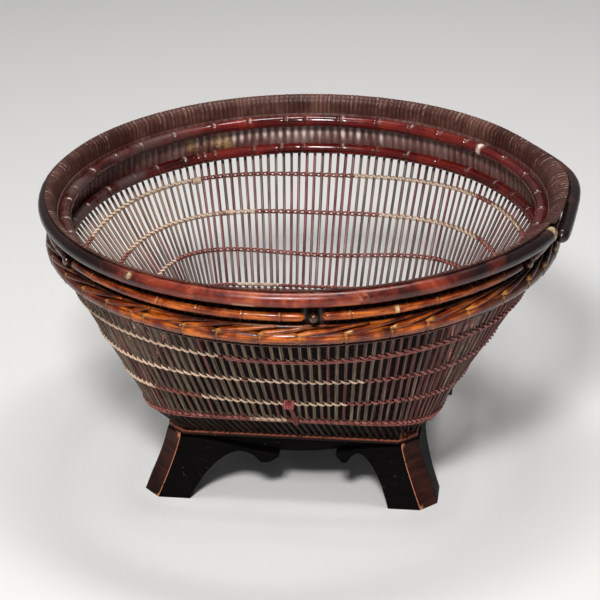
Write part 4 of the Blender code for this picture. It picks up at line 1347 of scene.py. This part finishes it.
def lacquered_cane(name, ramp, knot, painted_light_colour, gloss, coat, streak=(60.0, 900.0, 3.0),
                   mottle=38.0, knot_share=0.7, side_shade_share=0.85, dust=None, top_dust=0.0,
                   left_dust=0.0):
    """Lacquer over cane: fibres along it, mottling, marked knots, painted shade toward the ends of
    the rim, a painted colour where the bare mark lies, and dust.
    """
    graph = Graph(name)
    fibre = graph.fibre(streak)
    patch = graph.noise(mottle, 5.0, 0.6, 0.4)
    speck = graph.noise(420.0, 3.0, 0.7)
    colour = graph.ramp(graph.blend(fibre, patch, 0.5), (0.38, 0.49, 0.60), ramp)
    # Painted shade: the lacquer darkens toward the left and right ends
    colour = graph.over(colour, ramp[0], side_shade(graph), side_shade_share)
    # Knot colour; on the root band it also paints a highlight on each knot's lip
    colour = graph.over(colour, knot, graph.mark("dust"), graph.spread(speck, 0.25, 0.50),
                        knot_share)
    # Painted shade in the root cane's hollows and painted highlights beside the hoops' knots
    colour = graph.over(colour, painted_light_colour, graph.mark("bare"), graph.spread(fibre, 0.75, 0.35), 0.95)
    rough = graph.spread(patch, 0.35, 0.65, gloss, gloss + 0.18)
    if dust:
        cover = graph.times(graph.spread(graph.upward(), 0.25, 0.98),
                            graph.spread(patch, 0.42, 0.62), graph.spread(speck, 0.38, 0.6),
                            top_dust)
        if left_dust:
            left = graph.times(graph.spread(graph.place("X"), -0.060, -0.115),
                               graph.spread(patch, 0.40, 0.56), left_dust)
            cover = graph.math("MAXIMUM", cover, left)
        colour = graph.over(colour, dust, cover)
        rough = graph.math("ADD", rough, graph.times(cover, 0.35))
    graph.bump(fibre, 0.00015, 0.6)
    return graph.finish(colour, rough, coat, 0.10, 0.4)


def hoop_lacquer():
    """Red-brown lacquer, painted brighter orange at the front as light and nearly black at the ends
    as shade, dusty on top.
    """
    graph = Graph("hoop_lacquer")
    fibre = graph.fibre((25.0, 260.0, 1.0), 5.0)
    patch = graph.noise(30.0, 6.0, 0.62, 0.6)
    speck = graph.noise(330.0, 4.0, 0.7)
    # Painted light brightens the front; painted shade darkens the left and both ends
    lively = graph.math("ADD", patch, graph.spread(graph.place("Y"), -0.105, -0.146, 0.0, 0.10))
    for falloff_shade in (graph.spread(graph.place("X"), -0.030, -0.080, 0.0, 0.09),
                 graph.times(side_shade(graph), 0.17)):
        lively = graph.math("SUBTRACT", lively, falloff_shade)
    colour = graph.ramp(lively, (0.38, 0.49, 0.59, 0.71), (
        (0.010, 0.002, 0.002), (0.075, 0.008, 0.005), (0.250, 0.030, 0.012),
        (0.540, 0.130, 0.040)))
    colour = graph.over(colour, (0.022, 0.004, 0.003), graph.spread(fibre, 0.48, 0.74))
    film = graph.times(graph.mark("dust"), graph.spread(patch, 0.42, 0.60),
                       graph.spread(speck, 0.36, 0.60))
    colour = graph.over(colour, (0.085, 0.034, 0.025), film, 0.3)
    colour = graph.over(colour, (0.620, 0.440, 0.260), graph.mark("bare"),
                        graph.spread(speck, 0.40, 0.50))
    rough = graph.math("ADD", graph.spread(speck, 0.3, 0.7, 0.25, 0.36), graph.times(film, 0.2))
    graph.bump(graph.fibre((110.0, 420.0, 1.0)), 0.00022, 0.55)
    return graph.finish(colour, rough, 0.12, 0.20, 0.42)


def peg_lacquer():
    """Nearly black gloss with brown rubbed through."""
    graph = Graph("peg_lacquer")
    patch = graph.noise(300.0, 4.0)
    colour = graph.ramp(patch, (0.35, 0.55, 0.70), (
        (0.010, 0.003, 0.002), (0.050, 0.015, 0.008), (0.230, 0.100, 0.040)))
    graph.bump(patch, 0.0003, 0.5)
    return graph.finish(colour, graph.spread(patch, 0.3, 0.7, 0.12, 0.30), 0.5, 0.08)


def stake_bamboo():
    """Thin lacquer on split bamboo: olive in front, redder and darker at the right partly as painted
    shade, painted lit and rosy inside, with painted highlights inside at the left and painted shade
    low inside, below the fourth row and above the shoulder.
    """
    graph = Graph("stake_bamboo")
    across = graph.place("X")
    level = graph.place("Z")
    inner = graph.mark("bare")
    outer = graph.math("SUBTRACT", 1.0, inner)
    fibre = graph.fibre((34.0, 1900.0, 7.3))
    tone = graph.fibre((6.0, 0.0, 3.17), 2.0, 0.5)
    colour = graph.ramp(fibre, (0.36, 0.46, 0.55, 0.68), (
        (0.018, 0.010, 0.008), (0.080, 0.050, 0.042), (0.190, 0.130, 0.108),
        (0.480, 0.370, 0.310)))
    olive, red, lit, rosy = (graph.ramp(fibre, places, colours) for places, colours in (
        ((0.36, 0.50, 0.68), ((0.016, 0.010, 0.006), (0.122, 0.078, 0.047), (0.340, 0.270, 0.180))),
        ((0.34, 0.50, 0.68), ((0.018, 0.004, 0.004), (0.090, 0.020, 0.018), (0.300, 0.110, 0.095))),
        ((0.34, 0.49, 0.68), ((0.050, 0.026, 0.022), (0.165, 0.102, 0.088), (0.540, 0.390, 0.340))),
        ((0.34, 0.49, 0.68), ((0.045, 0.010, 0.011), (0.160, 0.050, 0.050), (0.540, 0.270, 0.265)))))
    colour = graph.over(colour, olive, outer, graph.spread(across, 0.070, 0.030),
                        graph.spread(graph.place("Y"), 0.0, -0.05))
    # Redder and darker toward the right, partly painted shade, and redder at random along the tone
    right = graph.times(outer, graph.spread(across, 0.030, 0.080), graph.spread(tone, 0.36, 0.48))
    colour = graph.over(colour, red, graph.math("MAXIMUM", right, graph.spread(tone, 0.51, 0.63)))
    # Inner faces painted as lit, rosy in places
    colour = graph.over(colour, graph.over(lit, rosy, graph.spread(tone, 0.46, 0.58)), inner, 0.8)
    # Painted highlights on the inner faces of the left stakes
    colour = graph.over(colour, (0.560, 0.390, 0.270), inner,
                        graph.spread(across, -0.060, -0.110), graph.spread(fibre, 0.36, 0.58),
                        graph.spread(level, 0.075, 0.105), 0.7)
    # Painted shade: low on the inner faces, below the fourth row and above the shoulder
    shade = graph.times(inner, graph.spread(level, 0.085, 0.045), 0.45)
    for start, way, depth in ((ROW_4_LEVEL, -STAKE_WIDTH, 0.88),
                              (SHOULDER_LEVEL, STAKE_WIDTH, 0.95)):
        shade = graph.math("MAXIMUM", shade, graph.spread(level, start, start + way, 0.0, depth))
    colour = graph.over(colour, (0.006, 0.003, 0.002), shade)
    graph.bump(fibre, 0.00018, 0.7)
    return graph.finish(colour, graph.spread(fibre, 0.3, 0.7, 0.36, 0.56), 0.0, 0.25, 0.14)


def mat_bamboo():
    """Nearly black strips, painted as the shade of the basket's dark inside, with slightly paler
    crowns.
    """
    graph = Graph("mat_bamboo")
    fibre = graph.fibre((28.0, 900.0, 7.3))
    # Near black: painted shade for the dark inside of the basket
    colour = graph.ramp(fibre, (0.34, 0.54, 0.72), (
        (0.001, 0.001, 0.001), (0.004, 0.002, 0.002), (0.022, 0.011, 0.009)))
    graph.bump(fibre, 0.00018, 0.6)
    return graph.finish(colour, 0.6, 0.0, 0.3, 0.05)


def twine_cane():
    """Split cane strands: pink-red lacquer, pale in stretches, with painted shade where the dust
    mark lies.
    """
    graph = Graph("twine_cane")
    fibre = graph.fibre((120.0, 1500.0, 5.0))
    patch = graph.noise(120.0, 4.0)
    pink = graph.ramp(fibre, (0.32, 0.50, 0.68), (
        (0.075, 0.012, 0.010), (0.240, 0.052, 0.042), (0.600, 0.270, 0.220)))
    pale = graph.ramp(fibre, (0.30, 0.46, 0.66), (
        (0.300, 0.150, 0.085), (0.640, 0.430, 0.290), (0.880, 0.720, 0.560)))
    colour = graph.over(pink, pale, graph.mark("bare"))
    colour = graph.over(colour, (0.080, 0.018, 0.014), graph.spread(patch, 0.52, 0.68), 0.5)
    # Painted shade: strands darkened between the stakes and under the root band
    colour = graph.over(colour, (0.012, 0.004, 0.003), graph.mark("dust"))
    graph.bump(fibre, 0.00015, 0.6)
    return graph.finish(colour, graph.spread(fibre, 0.3, 0.7, 0.26, 0.48), 0.1, 0.2, 0.35)


def dusty_lacquer(name, ramp, crest, gloss, coat, lines, side_shade_share, broken):
    """Red-brown lacquer under dust, with painted shade between the ribs and toward the ends, painted
    highlights on the crests, and fine lines across the band.
    """
    graph = Graph(name)
    rib = graph.mark("dust")
    patch = graph.noise(30.0, 6.0, 0.65, 0.5)
    speck = graph.noise(420.0, 4.0, 0.7)
    line = graph.fibre((950.0, 60.0, 1.0), 4.0, 0.65)
    colour = graph.ramp(graph.blend(line, patch, lines), (0.36, 0.49, 0.62), ramp)
    # Painted shade toward the left and right ends
    colour = graph.over(colour, ramp[0], side_shade(graph), side_shade_share)
    # Painted highlights on the crests where the rib mark is below zero, painted shade between the
    # ribs where it is above
    colour = graph.over(colour, crest, graph.times(rib, -1.0), graph.spread(speck, *broken))
    colour = graph.over(colour, (0.014, 0.004, 0.003), rib, 0.85)
    colour = graph.over(colour, (0.540, 0.330, 0.130), graph.mark("bare"),
                        graph.spread(patch, 0.38, 0.50), graph.spread(speck, 0.36, 0.50))
    graph.bump(graph.blend(line, speck, 0.6), 0.00022, 0.5)
    rough = graph.spread(speck, 0.30, 0.70, gloss, gloss + 0.25)
    return graph.finish(colour, rough, coat, 0.14, 0.25)


def stand_lacquer(name, dark, middle, edge, gloss, specular):
    """Nearly black lacquer on wood, rubbed through at the marked edges, with specks of dust."""
    graph = Graph(name)
    speck = graph.noise(500.0, 3.0, 0.7)
    grain = graph.blend(graph.fibre((60.0, 320.0, 2.0)), graph.noise(45.0, 5.0), 0.5)
    colour = graph.ramp(grain, (0.40, 0.60), (dark, middle))
    colour = graph.over(colour, edge, graph.mark("bare"), graph.spread(speck, 0.30, 0.48), 0.95)
    colour = graph.over(colour, (0.20, 0.17, 0.15), graph.spread(speck, 0.68, 0.73), 0.4)
    graph.bump(grain, 0.0002, 0.4)
    rough = graph.spread(speck, 0.3, 0.7, gloss, gloss + 0.2)
    return graph.finish(colour, rough, 0.0, 0.15, specular)


def make_looks():
    """Each piece's material with the slot of the record that it fills."""
    amber = ((0.030, 0.003, 0.002), (0.240, 0.032, 0.003), (0.780, 0.190, 0.014))
    return {
        "hoop": (hoop_lacquer(), "dark_cane"),
        "peg": (peg_lacquer(), "amber_bamboo"),
        "stake": (stake_bamboo(), "brown_stake"),
        "mat": (mat_bamboo(), "brown_stake"),
        "twine": (twine_cane(), "tan_twine"),
        "collar": (dusty_lacquer(
            "collar_lacquer", ((0.034, 0.008, 0.005), (0.086, 0.028, 0.020), (0.180, 0.080, 0.058)),
            (0.420, 0.270, 0.210), 0.36, 0.04, 0.30, 0.45, (0.44, 0.58)), "red_lacquer"),
        "lining": (dusty_lacquer(
            "lining_lacquer", ((0.085, 0.020, 0.017), (0.200, 0.085, 0.074), (0.360, 0.225, 0.200)),
            (0.960, 0.780, 0.720), 0.20, 0.35, 0.35, 0.30, (0.26, 0.42)), "red_lacquer"),
        "red": (lacquered_cane(
            "red_lacquer_cane",
            ((0.028, 0.002, 0.002), (0.108, 0.004, 0.003), (0.235, 0.015, 0.008)),
            (0.045, 0.020, 0.010), (0.860, 0.640, 0.540), 0.12, 0.4, (30.0, 300.0, 3.0),
            knot_share=0.85, side_shade_share=0.6, dust=(0.085, 0.050, 0.042), top_dust=0.15,
            left_dust=0.85), "red_lacquer"),
        "amber": (lacquered_cane(
            "amber_lacquer_cane", amber, (0.780, 0.360, 0.070), (0.010, 0.003, 0.002), 0.20, 0.22,
            (45.0, 600.0, 3.0), 60.0, 0.75, dust=(0.060, 0.022, 0.010), top_dust=0.4),
            "amber_bamboo"),
        # The small hoops' dust is dark: their tops, under the rim hoop, darken with dust and painted
        # shade
        "small": (lacquered_cane(
            "small_hoop_lacquer", amber, (0.030, 0.009, 0.004), (0.840, 0.560, 0.260), 0.20, 0.28,
            (45.0, 600.0, 3.0), 60.0, dust=(0.050, 0.015, 0.007), top_dust=0.7), "amber_bamboo"),
        "tie": (lacquered_cane(
            "red_cord", ((0.040, 0.003, 0.004), (0.130, 0.010, 0.010), (0.260, 0.040, 0.036)),
            (0.480, 0.110, 0.100), (0.020, 0.004, 0.004), 0.30, 0.1, side_shade_share=0.0), "red_lacquer"),
        "wood": (stand_lacquer("wood_lacquer", (0.0012, 0.0010, 0.0010), (0.0034, 0.0022, 0.0020),
                               (0.030, 0.014, 0.010), 0.42, 0.05), "black_lacquer"),
        "foot": (stand_lacquer("foot_lacquer", (0.012, 0.004, 0.003), (0.048, 0.014, 0.010),
                               (0.640, 0.250, 0.130), 0.32, 0.14), "brown_lacquer"),
        "rail": (stand_lacquer("rail_lacquer", (0.006, 0.002, 0.002), (0.018, 0.005, 0.004),
                               (0.400, 0.110, 0.055), 0.32, 0.14), "red_lacquer"),
    }


# Floor, light and camera

def make_studio():
    """A plain pale floor and background, soft lamps and the photograph's camera."""
    data = bpy.data.meshes.new("studio_floor")
    corners = [(-FLOOR_HALF, -FLOOR_HALF, 0.0), (FLOOR_HALF, -FLOOR_HALF, 0.0),
               (FLOOR_HALF, FLOOR_HALF, 0.0), (-FLOOR_HALF, FLOOR_HALF, 0.0)]
    data.from_pydata(corners, [], [(0, 1, 2, 3)])
    graph = Graph("floor_paper")
    colour = graph.ramp(graph.noise(900.0, 2.0, 0.5), (0.3, 0.7),
                        ((0.78, 0.77, 0.75), (0.80, 0.79, 0.77)))
    data.materials.append(graph.finish(colour, 0.9, specular=0.1))
    floor = show("studio_floor", data)

    scene = bpy.context.scene
    scene.view_settings.view_transform = "Standard"
    scene.world = bpy.data.worlds.new("studio_world")
    scene.world.use_nodes = True
    light = scene.world.node_tree.nodes["Background"]
    light.inputs["Color"].default_value = (*WORLD_COLOUR, 1.0)
    light.inputs["Strength"].default_value = WORLD_STRENGTH

    for name, place, size, power in LAMPS:
        lamp = bpy.data.lights.new(name, "AREA")
        lamp.shape = "RECTANGLE"
        lamp.size, lamp.size_y = size
        lamp.energy = power
        item = show(name, lamp)
        item.location = place
        item.rotation_euler = (LAMP_TARGET - Vector(place)).to_track_quat("-Z", "Y").to_euler()

    camera = bpy.data.cameras.new("photo_camera")
    camera.sensor_width = CAMERA_SENSOR
    camera.lens = CAMERA_LENS
    camera.shift_x, camera.shift_y = CAMERA_SHIFT
    scene.camera = show("photo_camera", camera)
    scene.camera.location = CAMERA_PLACE
    scene.camera.rotation_euler = CAMERA_TURN


def main():
    dice = random.Random(RANDOM_SEED)
    looks = make_looks()
    make_studio()
    stakes = make_stakes(dice, looks["stake"])
    make_rows(stakes, looks["twine"])
    make_tie(looks["tie"])
    make_rim_hoop(looks["hoop"])
    make_rim_collar(looks["collar"])
    make_rim_lining(dice, looks["lining"])
    make_inner_hoops(looks["red"])
    make_root_band(dice, looks["amber"])
    make_small_hoops(dice, looks["small"])
    make_pegs(looks["peg"])
    make_stand(looks["wood"], looks["foot"], looks["rail"])
    make_floor_mat(looks["mat"])


main()
